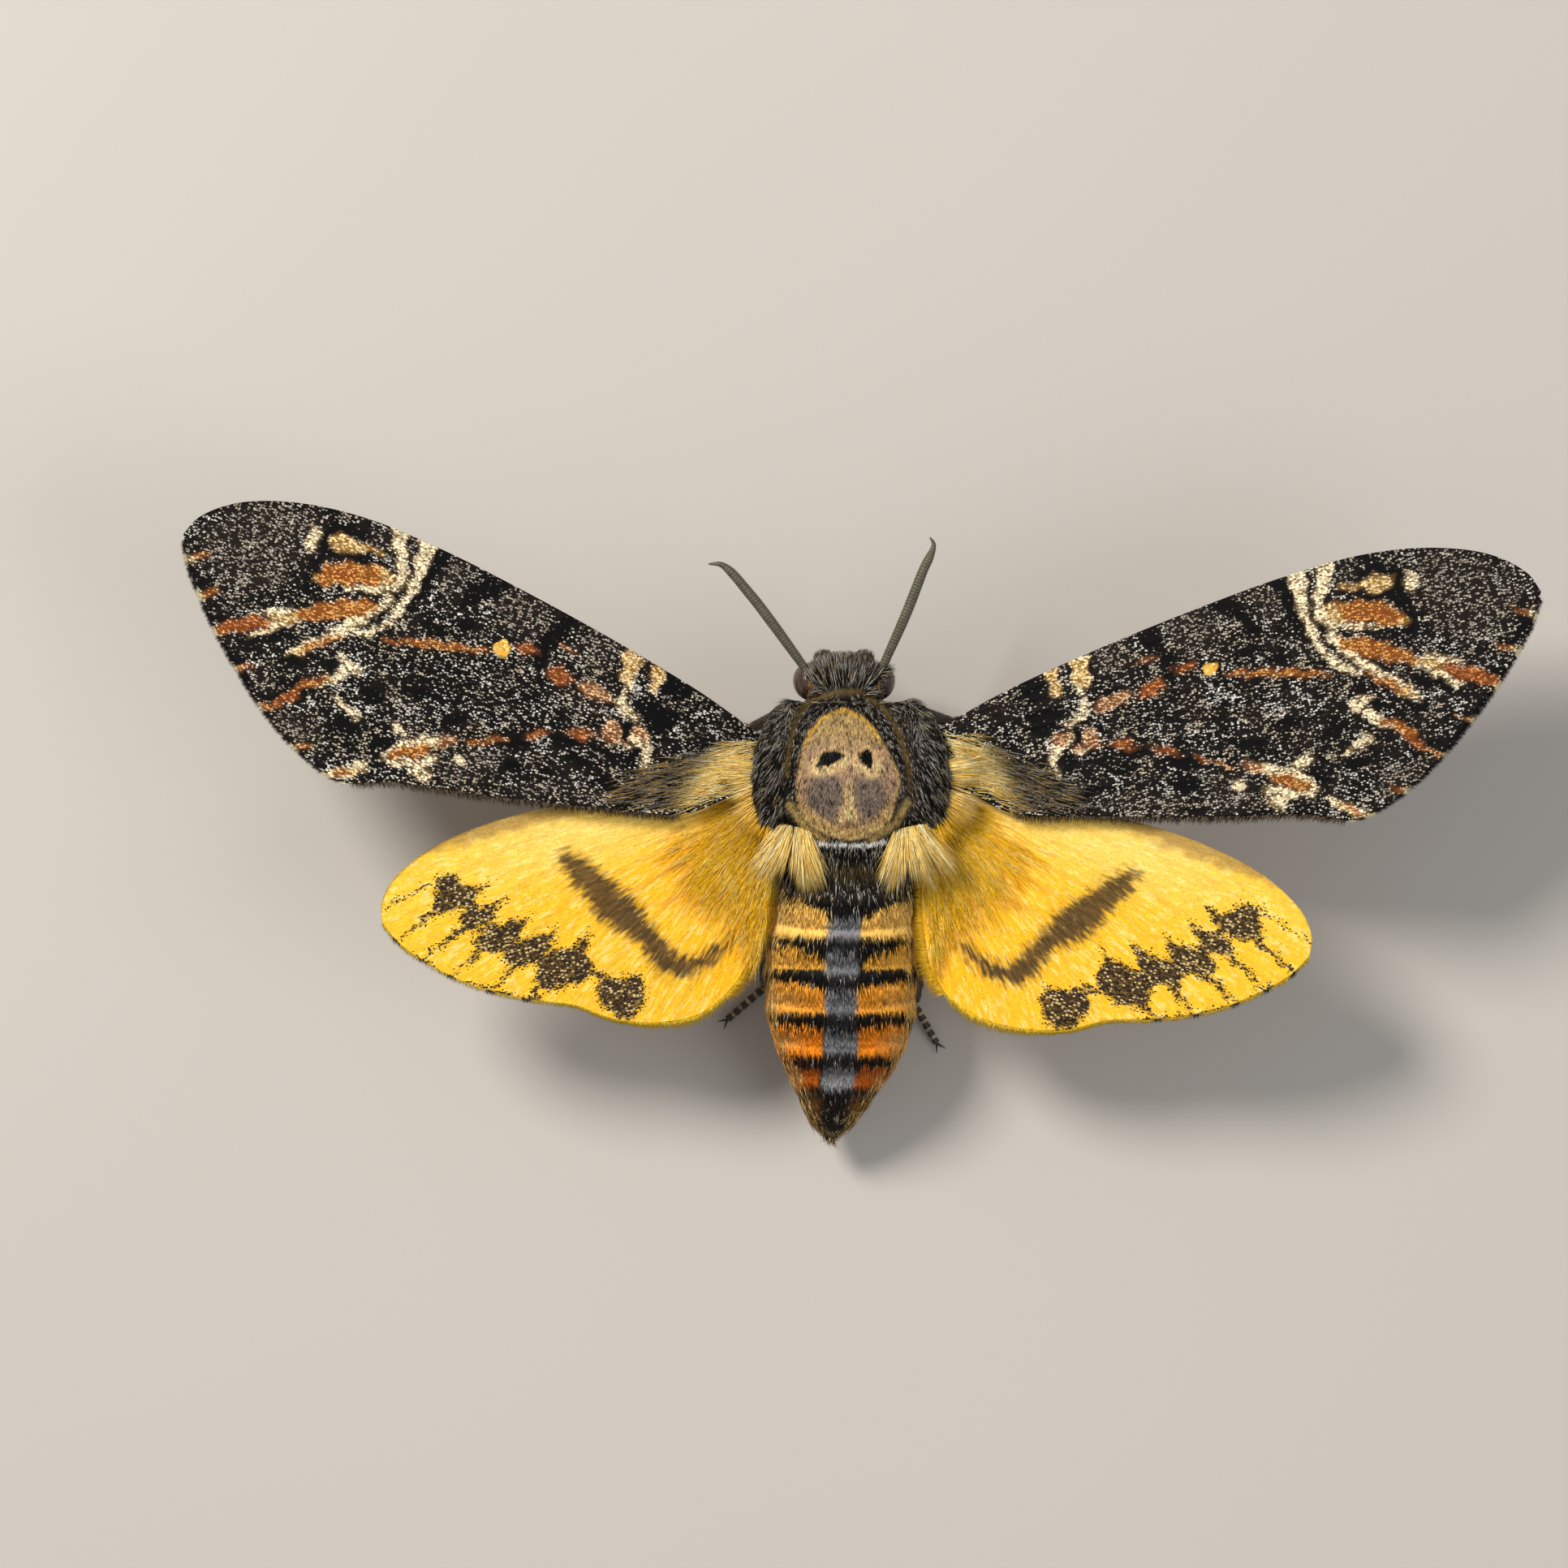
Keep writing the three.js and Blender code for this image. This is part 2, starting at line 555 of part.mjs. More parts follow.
for (const [name, places] of Object.entries(LEGS)) {
  const [hip, knee, ankle, toe] = places.map((p) => vec(...p));
  const kneePlane = bendPlane(hip, knee, ankle);
  const anklePlane = bendPlane(knee, ankle, toe);
  const past = (a, b, extra) => b.clone().addScaledVector(b.clone().sub(a).normalize(), extra);

  const femur = limb(hip, past(hip, knee, 0.6), [0.85, 0.62, 0.12], 3, 9);
  const thigh = largest(cutFront(femur, kneePlane, knee).subtract(WHOLE_BODY));
  parts.set(`leg_${name}_femur`, [thigh, "leg"]);

  let tibia = limb(past(ankle, knee, 0.6), past(knee, ankle, 0.6), [0.6, 0.42, 0.08], 3, 8);
  tibia = cutFront(cutBack(tibia, kneePlane, knee), anklePlane, ankle);
  const shin = ankle.clone().sub(knee).normalize();
  const outward = vec(Math.sign(hip.x), 0, 0.3).normalize();
  for (let i = 0; i < SPURS[name.split("_")[0]]; i++) {
    const at = knee.clone().lerp(ankle, 0.8 - 0.28 * i);
    for (const turn of [-0.5, 0.75]) {
      const way = shin.clone().addScaledVector(outward, turn).normalize();
      tibia = tibia.add(spur(at, way, 1.15));
    }
  }
  parts.set(`leg_${name}_tibia`, [largest(tibia.trimByPlane([0, 0, 1], 0.45)), "leg"]);

  const footRise = vec(0, 0, 0.16);
  const footMiddle = ankle.clone().lerp(toe, 0.5).setZ(FOOT_HEIGHT).add(footRise);
  const heel = past(toe, ankle, 0.5);
  const tarsomeres = (share) => {
    const r = FOOT_RADIUS + 0.05 * (1 - share) + 0.03 * Math.cos(share * Math.PI * 10);
    return [r, r];
  };
  let tarsus = tube([heel, footMiddle, toe], tarsomeres, { steps: 10, sides: 6 });
  const forward = toe.clone().sub(footMiddle).setZ(0).normalize();
  for (const spread of [-0.55, 0.55]) {
    const way = forward.clone().applyAxisAngle(vec(0, 0, 1), spread);
    const base = toe.clone().addScaledVector(forward, -0.15);
    const bend = base.clone().addScaledVector(way, 0.45).setZ(0.42);
    const end = bend.clone().addScaledVector(forward, 0.4).setZ(0.14);
    const claw = tube([base, bend, end], (s) => [0.19 - 0.1 * s, 0.19 - 0.1 * s], { steps: 2, sides: 4 });
    tarsus = tarsus.add(claw);
  }
  tarsus = cutBack(tarsus, anklePlane, ankle).trimByPlane([0, 0, 1], 0);
  parts.set(`leg_${name}_tarsus`, [largest(tarsus), "leg"]);
}

// The model stands with the middle of its outline over the origin

const moth = new THREE.Group();
for (const [name, [solid, colour]] of parts) {
  const mesh = new THREE.Mesh(
    geometryOf(solid),
    new THREE.MeshStandardMaterial({ metalness: 0, ...COLOURS[colour] }),
  );
  mesh.name = name;
  moth.add(mesh);
}
const outline = new THREE.Box3().setFromObject(moth);
const centre = outline.getCenter(vec(0, 0, 0));
moth.position.set(-centre.x, -centre.y, -outline.min.z);

export default moth;
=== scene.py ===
# %% [markdown]
# # A death's-head hawkmoth with its wings spread
# This lesson dresses the plain solids of a moth as a museum model: one furry skin over the body, a
# coat of thousands of small solid tufts, and wings whose pattern is painted in depth fields. The moth
# stands on the floor on its six feet, and the camera looks straight down on it.
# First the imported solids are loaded, as a frame that every new piece has to fit.

# %% Load the frame
import math

import bmesh
import bpy
import numpy as np
from mathutils import Matrix, Vector
from mathutils.bvhtree import BVHTree
from mathutils.kdtree import KDTree


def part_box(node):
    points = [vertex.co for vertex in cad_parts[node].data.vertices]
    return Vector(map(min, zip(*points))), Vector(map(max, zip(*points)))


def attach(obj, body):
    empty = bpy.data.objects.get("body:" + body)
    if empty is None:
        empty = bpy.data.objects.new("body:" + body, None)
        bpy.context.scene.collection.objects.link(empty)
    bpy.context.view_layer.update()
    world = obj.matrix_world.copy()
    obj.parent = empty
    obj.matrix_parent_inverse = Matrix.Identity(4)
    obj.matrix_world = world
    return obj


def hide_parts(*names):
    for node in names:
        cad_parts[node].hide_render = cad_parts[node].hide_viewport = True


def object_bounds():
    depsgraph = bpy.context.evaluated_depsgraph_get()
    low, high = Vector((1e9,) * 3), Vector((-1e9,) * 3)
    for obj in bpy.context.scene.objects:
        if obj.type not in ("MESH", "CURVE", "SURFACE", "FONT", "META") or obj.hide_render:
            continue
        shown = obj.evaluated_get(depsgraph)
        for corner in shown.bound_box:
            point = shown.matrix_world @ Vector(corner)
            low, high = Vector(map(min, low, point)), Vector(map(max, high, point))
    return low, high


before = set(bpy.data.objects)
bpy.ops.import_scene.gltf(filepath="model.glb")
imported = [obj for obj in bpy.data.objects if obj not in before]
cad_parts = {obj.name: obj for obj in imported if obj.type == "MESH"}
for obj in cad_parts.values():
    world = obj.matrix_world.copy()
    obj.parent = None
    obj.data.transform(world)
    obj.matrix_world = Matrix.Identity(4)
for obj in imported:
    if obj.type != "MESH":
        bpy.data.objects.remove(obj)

cad_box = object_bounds()
print("the frame holds", len(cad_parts), "nodes")

# %% [markdown]
# ## A plan in millimetres
# A moth is drawn most easily in millimetres, seen from above, with y towards the head. The middle
# between the eyes is a place that the solids give exactly, so the plan is pinned there and every
# later piece is carried from plan to frame by one small function.

# %% Plan and frame
MM = 0.001
EYES_ON_PLAN = np.array((-0.6, 5.8, 10.3))


def node_middle(name):
    low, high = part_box(name)
    return (np.array(low) + np.array(high)) / 2


PLAN_ORIGIN = (node_middle("eye_l") + node_middle("eye_r")) / 2 - EYES_ON_PLAN * MM


def to_frame(points):
    return PLAN_ORIGIN + np.asarray(points, dtype=float) * MM


def to_plan(points):
    return (np.asarray(points, dtype=float) - PLAN_ORIGIN) / MM


print("plan origin in the frame:", PLAN_ORIGIN.round(5).tolist())

# %% [markdown]
# ## Camera, floor and light
# The moth is seen from straight above, so the camera hangs over the wings with a long lens, which
# keeps the wings as flat as the eye sees them. The light is soft, like a window on the upper left,
# with a paler fill from the other side. The floor is pale and plain, just under the feet.

# %% Camera
VIEW_MIDDLE = (-5.35, -2.29, 15.0)
VIEW_WIDTH = 0.12307
CAMERA_ABOVE = 0.65
SENSOR = 36.0

camera_data = bpy.data.cameras.new("above")
camera_data.sensor_width = SENSOR
camera_data.lens = SENSOR * CAMERA_ABOVE / VIEW_WIDTH
camera = bpy.data.objects.new("camera", camera_data)
camera.location = Vector(to_frame(VIEW_MIDDLE)) + Vector((0, 0, CAMERA_ABOVE))
bpy.context.scene.collection.objects.link(camera)
bpy.context.scene.camera = camera
print("lens", round(camera_data.lens, 1), "mm")

# %% Light
scene = bpy.context.scene
scene.view_settings.view_transform = "Standard"
world = bpy.data.worlds.new("soft room")
world.use_nodes = True
world.node_tree.nodes["Background"].inputs["Color"].default_value = (0.93, 0.96, 1.0, 1)
world.node_tree.nodes["Background"].inputs["Strength"].default_value = 0.42
scene.world = world


def soft_light(name, place, size, power, colour):
    data = bpy.data.lights.new(name, "AREA")
    data.shape = "DISK"
    data.size = size
    data.energy = power
    data.color = colour
    lamp = bpy.data.objects.new(name, data)
    lamp.location = place
    lamp.rotation_euler = (-Vector(place)).to_track_quat("-Z", "Y").to_euler()
    scene.collection.objects.link(lamp)


soft_light("window", (-0.3, 0.28, 0.46), 0.2, 4.1, (1.0, 0.97, 0.92))
soft_light("fill", (0.4, -0.15, 0.38), 0.4, 1.0, (0.93, 0.96, 1.0))

# %% [markdown]
# ## Materials are built from small parts
# A shader is easier to read when each node is one line. The helper adds a node, sets its options and
# joins its inputs: a value that is a socket is linked, and any other value is set on the socket.

# %% Node helpers
def tint(code):
    share = np.array([int(code[i:i + 2], 16) for i in (1, 3, 5)]) / 255
    return np.where(share <= 0.04045, share / 12.92, ((share + 0.055) / 1.055) ** 2.4)


def shade(code):
    return (*tint(code), 1.0)


def add(tree, kind, inputs=None, **options):
    node = tree.nodes.new(kind)
    for name, value in options.items():
        setattr(node, name, value)
    for name, value in (inputs or {}).items():
        if isinstance(value, bpy.types.NodeSocket):
            tree.links.new(value, node.inputs[name])
        else:
            node.inputs[name].default_value = value
    return node


def math_node(tree, operation, *values):
    return add(tree, "ShaderNodeMath", dict(enumerate(values)), operation=operation).outputs[0]


def times(tree, value, by):
    return math_node(tree, "MULTIPLY", value, by)


def remap(tree, value, low, high, to_low=0.0, to_high=1.0, way="LINEAR"):
    node = add(tree, "ShaderNodeMapRange", {"Value": value, "From Min": low, "From Max": high,
                                            "To Min": to_low, "To Max": to_high}, interpolation_type=way)
    return node.outputs[0]


def blend(tree, mask, under, over, way="MIX"):
    node = add(tree, "ShaderNodeMix", {0: mask, 6: under, 7: over}, data_type="RGBA", blend_type=way)
    return node.outputs[2]


def darker(tree, colour, amount):
    return blend(tree, 1.0, colour, amount, "MULTIPLY")


def cloud_of(tree, fineness, detail):
    """Noise in the object's own coordinates, which are metres."""
    place = add(tree, "ShaderNodeTexCoord").outputs["Object"]
    noise = add(tree, "ShaderNodeTexNoise", {"Vector": place, "Scale": fineness, "Detail": detail})
    return noise.outputs["Fac"]


def dress(tree, surface, colour, roughness, height=None, deep=0.0, strength=0.0, **plain):
    """Join a colour and a relief, deep in millimetres, to the shader, and set its plain values."""
    tree.links.new(colour, surface.inputs["Base Color"])
    surface.inputs["Roughness"].default_value = roughness
    for name, value in plain.items():
        surface.inputs[name.replace("_", " ")].default_value = value
    if height:
        relief = add(tree, "ShaderNodeBump", {"Height": height, "Distance": deep * MM, "Strength": strength})
        tree.links.new(relief.outputs[0], surface.inputs["Normal"])


def new_material(name):
    material = bpy.data.materials.new(name)
    material.use_nodes = True
    return material, material.node_tree, material.node_tree.nodes["Principled BSDF"]


def new_group(name, takes, gives):
    tree = bpy.data.node_groups.new(name, "ShaderNodeTree")
    for title, kind, start in takes:
        socket = tree.interface.new_socket(name=title, in_out="INPUT", socket_type=kind)
        socket.default_value = start
    for title, kind in gives:
        tree.interface.new_socket(name=title, in_out="OUTPUT", socket_type=kind)
    entry = tree.nodes.new("NodeGroupInput")
    leave = tree.nodes.new("NodeGroupOutput")
    return tree, entry.outputs, leave.inputs


def use_group(tree, group, inputs):
    return add(tree, "ShaderNodeGroup", inputs, node_tree=group).outputs


# %% [markdown]
# ## Shared effects
# Two effects come back in several materials. The ragged edge turns a depth field into a mask whose
# rim frays like scales and hair. The scale mosaic is the powder of a wing: small cells, of which a
# share lights up as flecks, with a tone for each scale and a height for the bump. Both work in the
# millimetres of the vector that they are given.

# %% Shared effects
FLOAT = "NodeSocketFloat"
VECTOR = "NodeSocketVector"

ragged_edge, given, gives = new_group(
    "ragged edge",
    [("Depth", FLOAT, 0.0), ("Vector", VECTOR, (0, 0, 0)), ("Fray", FLOAT, 0.3), ("Soft", FLOAT, 0.08),
     ("Fineness", FLOAT, 1.0)],
    [("Mask", FLOAT)],
)
fray = add(ragged_edge, "ShaderNodeTexNoise",
           {"Vector": given["Vector"], "Scale": given["Fineness"], "Detail": 3.0, "Roughness": 0.6})
swing = math_node(ragged_edge, "MULTIPLY_ADD", fray.outputs["Fac"], 2.0, -1.0)
moved = math_node(ragged_edge, "MULTIPLY_ADD", swing, given["Fray"], given["Depth"])
before = math_node(ragged_edge, "MULTIPLY", given["Soft"], -1.0)
edge = remap(ragged_edge, moved, before, given["Soft"], way="SMOOTHSTEP")
ragged_edge.links.new(edge, gives["Mask"])

scale_mosaic, given, gives = new_group(
    "scale mosaic",
    [("Vector", VECTOR, (0, 0, 0)), ("Stretch", VECTOR, (0.6, 1.0, 1.0)), ("Fineness", FLOAT, 7.5),
     ("Density", FLOAT, 0.5)],
    [("Fleck", FLOAT), ("Tone", FLOAT), ("Height", FLOAT)],
)
stretched = add(scale_mosaic, "ShaderNodeVectorMath", {0: given["Vector"], 1: given["Stretch"]},
                operation="MULTIPLY")
cells = add(scale_mosaic, "ShaderNodeTexVoronoi",
            {"Vector": stretched.outputs[0], "Scale": given["Fineness"]}, feature="F1")
draw = add(scale_mosaic, "ShaderNodeSeparateColor", {"Color": cells.outputs["Color"]})
spare = math_node(scale_mosaic, "SUBTRACT", given["Density"], draw.outputs["Red"])
shown = remap(scale_mosaic, spare, -0.04, 0.04)
reach = math_node(scale_mosaic, "MULTIPLY_ADD", given["Density"], 0.45, 0.36)
inside = math_node(scale_mosaic, "SUBTRACT", reach, cells.outputs["Distance"])
dot = remap(scale_mosaic, inside, -0.08, 0.1, way="SMOOTHSTEP")
fleck = times(scale_mosaic, shown, dot)
relief = math_node(scale_mosaic, "SUBTRACT", 1.0, cells.outputs["Distance"])
scale_mosaic.links.new(fleck, gives["Fleck"])
scale_mosaic.links.new(draw.outputs["Green"], gives["Tone"])
scale_mosaic.links.new(relief, gives["Height"])
print("shared effects:", ragged_edge.name, "and", scale_mosaic.name)

# %% [markdown]
# ## Marks as depth fields
# A mark on the moth is a patch, a streak or a spot. Each is described by how deep a point lies inside
# it, in millimetres and below zero outside. Such a field stays smooth over a mesh, so the edge can be
# drawn later, finer than the mesh itself, and several marks of one colour are simply the deepest.

# %% Depth fields
def depth_in_outline(points, outline):
    start = np.asarray(outline, dtype=float)
    run = np.roll(start, -1, axis=0) - start
    offset = points[:, None, :] - start[None]
    share = np.clip((offset * run).sum(2) / (run ** 2).sum(1), 0, 1)
    gap = np.linalg.norm(offset - share[..., None] * run, axis=2).min(1)
    rises = (start[:, 1] > points[:, None, 1]) != (start[:, 1] + run[:, 1] > points[:, None, 1])
    slope = np.where(run[:, 1] == 0, 1e-9, run[:, 1])
    crossing = start[:, 0] + (points[:, None, 1] - start[:, 1]) * run[:, 0] / slope
    inside = (rises & (points[:, None, 0] < crossing)).sum(1) % 2 == 1
    return np.where(inside, gap, -gap)


def depth_in_line(points, line, half):
    start = np.asarray(line[:-1], dtype=float)
    run = np.asarray(line[1:], dtype=float) - start
    halves = np.broadcast_to(np.asarray(half, dtype=float), (len(line),))
    offset = points[:, None, :] - start[None]
    share = np.clip((offset * run).sum(2) / (run ** 2).sum(1), 0, 1)
    gap = np.linalg.norm(offset - share[..., None] * run, axis=2)
    width = halves[:-1] + (halves[1:] - halves[:-1]) * share
    return (width - gap).max(1)


def depth_in_spot(points, centre, radii, turn=0):
    angle = math.radians(turn)
    offset = points - np.asarray(centre, dtype=float)
    ahead = offset[:, 0] * math.cos(angle) + offset[:, 1] * math.sin(angle)
    aside = offset[:, 1] * math.cos(angle) - offset[:, 0] * math.sin(angle)
    away = np.hypot(ahead / radii[0], aside / radii[1])
    return (1 - away) * min(radii)


def depth_in_patch(points, left, right, low, high):
    x, y = points.T
    return np.minimum(np.minimum(x - left, right - x), np.minimum(y - low, high - y))


KINDS = {"outline": depth_in_outline, "line": depth_in_line, "spot": depth_in_spot, "patch": depth_in_patch}


def depth_of(points, marks):
    deepest = np.full(len(points), -4.0)
    for kind, *shape in marks:
        deepest = np.maximum(deepest, KINDS[kind](points, *shape))
    return deepest


# %% [markdown]
# ## Smooth lines
# The wings' edges, the feelers and the legs follow smooth lines through a few points. The line used
# here is a centripetal Catmull-Rom line, read by its share of the length, because it passes through
# every point and never loops at a sharp turn.

# %% Smooth lines
LINE_SAMPLES = 60


def smooth_line(points):
    given = np.asarray(points, dtype=float)
    first = 2 * given[0] - given[1]
    last = 2 * given[-1] - given[-2]
    held = np.vstack([first, given, last])
    t = np.linspace(0, 1, LINE_SAMPLES)[:, None]
    stretches = []
    for a, b, c, d in zip(held, held[1:], held[2:], held[3:]):
        ab, bc, cd = (max(np.linalg.norm(v), 1e-9) ** 0.5 for v in (b - a, c - b, d - c))
        leaving = ((b - a) / ab - (c - a) / (ab + bc) + (c - b) / bc) * bc
        arriving = ((c - b) / bc - (d - b) / (bc + cd) + (d - c) / cd) * bc
        bend = b * (2 * t ** 3 - 3 * t ** 2 + 1) + c * (3 * t ** 2 - 2 * t ** 3)
        stretches.append(bend + leaving * (t ** 3 - 2 * t ** 2 + t) + arriving * (t ** 3 - t ** 2))
    path = np.vstack(stretches)
    length = np.concatenate([[0], np.cumsum(np.linalg.norm(np.diff(path, axis=0), axis=1))])
    length /= length[-1]

    def at(share):
        return np.stack([np.interp(share, length, path[:, i]) for i in range(path.shape[1])], axis=-1)

    return at


# %% [markdown]
# ## Meshes from operators
# A wing or a feeler is a grid that has been bent, so a bmesh grid operator makes it and only its
# points are moved. A tube is the same grid rolled up: its two long edges meet and are merged.

# %% Mesh helpers
def object_from(name, mesh, material):
    piece = bpy.data.objects.new(name, mesh)
    scene.collection.objects.link(piece)
    mesh.materials.clear()
    mesh.materials.append(material)
    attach(piece, "root")
    return piece


def points_of(mesh):
    flat = np.empty(len(mesh.vertices) * 3)
    mesh.vertices.foreach_get("co", flat)
    return flat.reshape(-1, 3)


def move_points(mesh, points):
    mesh.vertices.foreach_set("co", np.asarray(points, dtype=np.float32).ravel())
    mesh.update()


def grid(columns, rows):
    form = bmesh.new()
    bmesh.ops.create_grid(form, x_segments=columns, y_segments=rows, size=0.5)
    bmesh.ops.translate(form, verts=form.verts, vec=(0.5, 0.5, 0))
    return form


def mesh_of(form, name, smooth=True):
    mesh = bpy.data.meshes.new(name)
    form.to_mesh(mesh)
    form.free()
    if smooth:
        mesh.shade_smooth()
    return mesh


def sweep(path, radius_at, sides, steps, up=(0, 0, 1)):
    form = grid(sides, steps)
    line = smooth_line(path)
    places = line(np.linspace(0, 1, steps + 1))
    heading = np.gradient(places, axis=0)
    heading /= np.linalg.norm(heading, axis=1)[:, None]
    across = np.cross(heading, np.asarray(up, dtype=float))
    across /= np.maximum(np.linalg.norm(across, axis=1), 1e-9)[:, None]
    over = np.cross(across, heading)
    for point in form.verts:
        step = round(point.co.y * steps)
        turn = point.co.x * math.tau
        radius = radius_at(step / steps)
        ring = across[step] * math.cos(turn) + over[step] * math.sin(turn)
        point.co = places[step] + ring * radius
    bmesh.ops.remove_doubles(form, verts=form.verts, dist=1e-5)
    bmesh.ops.recalc_face_normals(form, faces=form.faces)
    return form


def gather(forms, name):
    mesh = bpy.data.meshes.new(name)
    whole = bmesh.new()
    for form in forms:
        form.to_mesh(mesh)
        form.free()
        whole.from_mesh(mesh)
    for point in whole.verts:
        point.co = Vector(to_frame(point.co))
    whole.to_mesh(mesh)
    whole.free()
    mesh.shade_smooth()
    return mesh


# %% [markdown]
# ## Tufts
# Every hair on this moth is a small solid lock: a flat cone of a few faces with its root sunk in the
# skin. One lock is made by an operator, and arrays then lay thousands of bent copies of it, which is
# quick and leaves an ordinary mesh. Each copy keeps a colour and a tiny patch of its own in the map.

# %% One lock, copied by arrays
PATCH = 0.003
LOCK_THICKNESS = 0.17


def lock_template(rings):
    form = bmesh.new()
    bmesh.ops.create_cone(form, cap_ends=True, cap_tris=True, segments=3, radius1=1, radius2=0, depth=1)
    bmesh.ops.translate(form, verts=form.verts, vec=(0, 0, 0.5))
    for cut in range(1, rings):
        place = (0, 0, cut / rings)
        bmesh.ops.bisect_plane(form, geom=form.verts[:] + form.edges[:] + form.faces[:], plane_co=place,
                               plane_no=(0, 0, 1))
    bmesh.ops.triangulate(form, faces=form.faces)
    mesh = bpy.data.meshes.new("lock")
    form.to_mesh(mesh)
    form.free()
    points = points_of(mesh)
    faces = np.empty(len(mesh.polygons) * 3, dtype=np.int32)
    mesh.polygons.foreach_get("vertices", faces)
    bpy.data.meshes.remove(mesh)
    return points, faces.reshape(-1, 3)


TEMPLATES = {rings: lock_template(rings) for rings in (1, 2, 3)}


def tuft_mesh(name, tufts, rings=2):
    """One mesh of many locks. Tufts holds arrays: root, lie, up, length, width, rise, droop, colour, map."""
    shape, faces = TEMPLATES[rings]
    count = len(tufts["root"])
    along = shape[:, 2]
    full = np.maximum(1 - along, 1e-9)
    swell = np.where(along >= 1, 0, (1 - along ** 1.6) / full)
    lie = tufts["lie"]
    up = tufts["up"]
    aside = np.cross(lie, up)
    length = tufts["length"][:, None, None]
    width = tufts["width"][:, None, None]
    reach = lie[:, None] * along[None, :, None] * length
    lift = tufts["rise"][:, None] * along - tufts["droop"][:, None] * along ** 2
    reach = reach + up[:, None] * lift[..., None] * length
    wide = aside[:, None] * (shape[:, 0] * swell)[None, :, None] * width / 2
    thick = up[:, None] * (shape[:, 1] * swell)[None, :, None] * width * LOCK_THICKNESS
    points = tufts["root"][:, None] + reach + wide + thick
    total = count * len(shape)
    index = (faces[None] + (np.arange(count) * len(shape))[:, None, None]).reshape(-1)
    mesh = bpy.data.meshes.new(name)
    mesh.vertices.add(total)
    mesh.vertices.foreach_set("co", to_frame(points.reshape(-1, 3)).astype(np.float32).ravel())
    mesh.loops.add(len(index))
    mesh.loops.foreach_set("vertex_index", index)
    mesh.polygons.add(len(index) // 3)
    mesh.polygons.foreach_set("loop_start", np.arange(0, len(index), 3))
    mesh.update(calc_edges=True)
    # painted shade: each lock's colour is darkened towards its root, where it sinks into the fur, down to
    # root_shade at the root
    root_shade = np.broadcast_to(tufts.get("root_shade", 0.55), (count,))[:, None]
    fade = root_shade + (1 - root_shade) * np.clip(along * 1.6, 0, 1)
    colours = np.ones((count, len(shape), 4), dtype=np.float32)
    colours[..., :3] = tufts["colour"][:, None] * fade[..., None]
    layer = mesh.color_attributes.new("coat colour", "FLOAT_COLOR", "POINT")
    layer.data.foreach_set("color", colours.ravel())
    patch = np.stack([shape[:, 0], along], axis=1) * np.array((0.5, 1.0)) * PATCH
    spread = (tufts["map"][:, None] + patch[None]).reshape(-1, 2)
    atlas = mesh.uv_layers.new(name="OFBake")
    atlas.data.foreach_set("uv", np.clip(spread[index], 0, 1).astype(np.float32).ravel())
    mesh.shade_smooth()
    return mesh


# %% [markdown]
# ## The fur's material
# The same silky scales cover head, thorax and abdomen and fringe the wings, so one material serves
# all the fur. Its colour comes from the tufts themselves, and a fine mottling keeps neighbouring
# locks apart. Scales are silky rather than glossy.

# %% Fur material
fur, tree, surface = new_material("fur")
colour = add(tree, "ShaderNodeAttribute", attribute_name="coat colour").outputs["Color"]
lively = remap(tree, cloud_of(tree, 3500.0, 2.0), 0.0, 1.0, 0.72, 1.3)
dress(tree, surface, darker(tree, colour, lively), 0.6, Specular_IOR_Level=0.14)
print("material:", fur.name)

# %% [markdown]
# ## The wings' shape
# A wing is a thin curved plate between four edges: leading edge, outer margin, inner edge and root.
# A Coons patch fills such a frame evenly. The same four edges as in the solids are used, on a fine
# grid, so that the painted pattern can follow the real veins and edges.

# %% Wing edges, out along the span and forwards, in millimetres
FOREWING_EDGES = {
    "lead": [(-1.6, -0.4), (0, 0), (5, 1.5), (12.5, 3.15), (20, 4.5), (28, 5.65), (34.5, 6.05), (40, 5.4),
             (44.2, 3.9), (46.6, 1.9), (47.3, 0.3)],
    "outer": [(47.3, 0.3), (46.2, -1.7), (44.4, -3.9), (42, -6.4), (39.5, -8.6), (36.6, -10.9),
              (33.4, -12.8), (30.6, -13.9), (29, -14.1)],
    "inner": [(-1.6, -3.9), (0.3, -5.6), (3.2, -7.9), (9.4, -9.5), (15.5, -10.9), (21.9, -12.15),
              (25.8, -12.9), (29, -14.1)],
}
HINDWING_EDGES = {
    "lead": [(-1.8, 0.5), (0, 0.6), (5, 1.9), (11, 2.9), (16.5, 3.6), (21, 3.6), (25.5, 3.0), (28, 2.1),
             (29.9, 1.0), (31.1, -0.5), (31.4, -1.9)],
    "outer": [(31.4, -1.9), (30.5, -3.8), (28.8, -5.8), (26.6, -7.8), (23.8, -9.6), (20.8, -11),
              (18.4, -11.9), (15.6, -13.7), (12, -14.9), (8.2, -15.1), (5.5, -14.2)],
    "inner": [(-1.8, -2.4), (-0.2, -3.2), (0.5, -5.2), (1.2, -7.6), (2.7, -10.8), (3.9, -12.8),
              (5.5, -14.2)],
}
FOREWING_VEINS = [0.07, 0.16, 0.26, 0.36, 0.46, 0.57, 0.69, 0.81, 0.93]
HINDWING_VEINS = [0.09, 0.22, 0.35, 0.47, 0.59, 0.71, 0.82, 0.93]
SIDES = {"l": -1, "r": 1}
WINGS = {
    "forewing_l": {"side": -1, "root": (7.58, 1.85), "sweep": 18.66, "drop": 0.0, "tuck": 0.0},
    "forewing_r": {"side": 1, "root": (7.58, 2.55), "sweep": 12.07, "drop": 0.0, "tuck": 0.0},
    "hindwing_l": {"side": -1, "root": (6.9, -3.5), "sweep": -14.4, "drop": 1.35, "tuck": 1.4},
    "hindwing_r": {"side": 1, "root": (6.9, -3.5), "sweep": -19.6, "drop": 1.35, "tuck": 0.0},
}
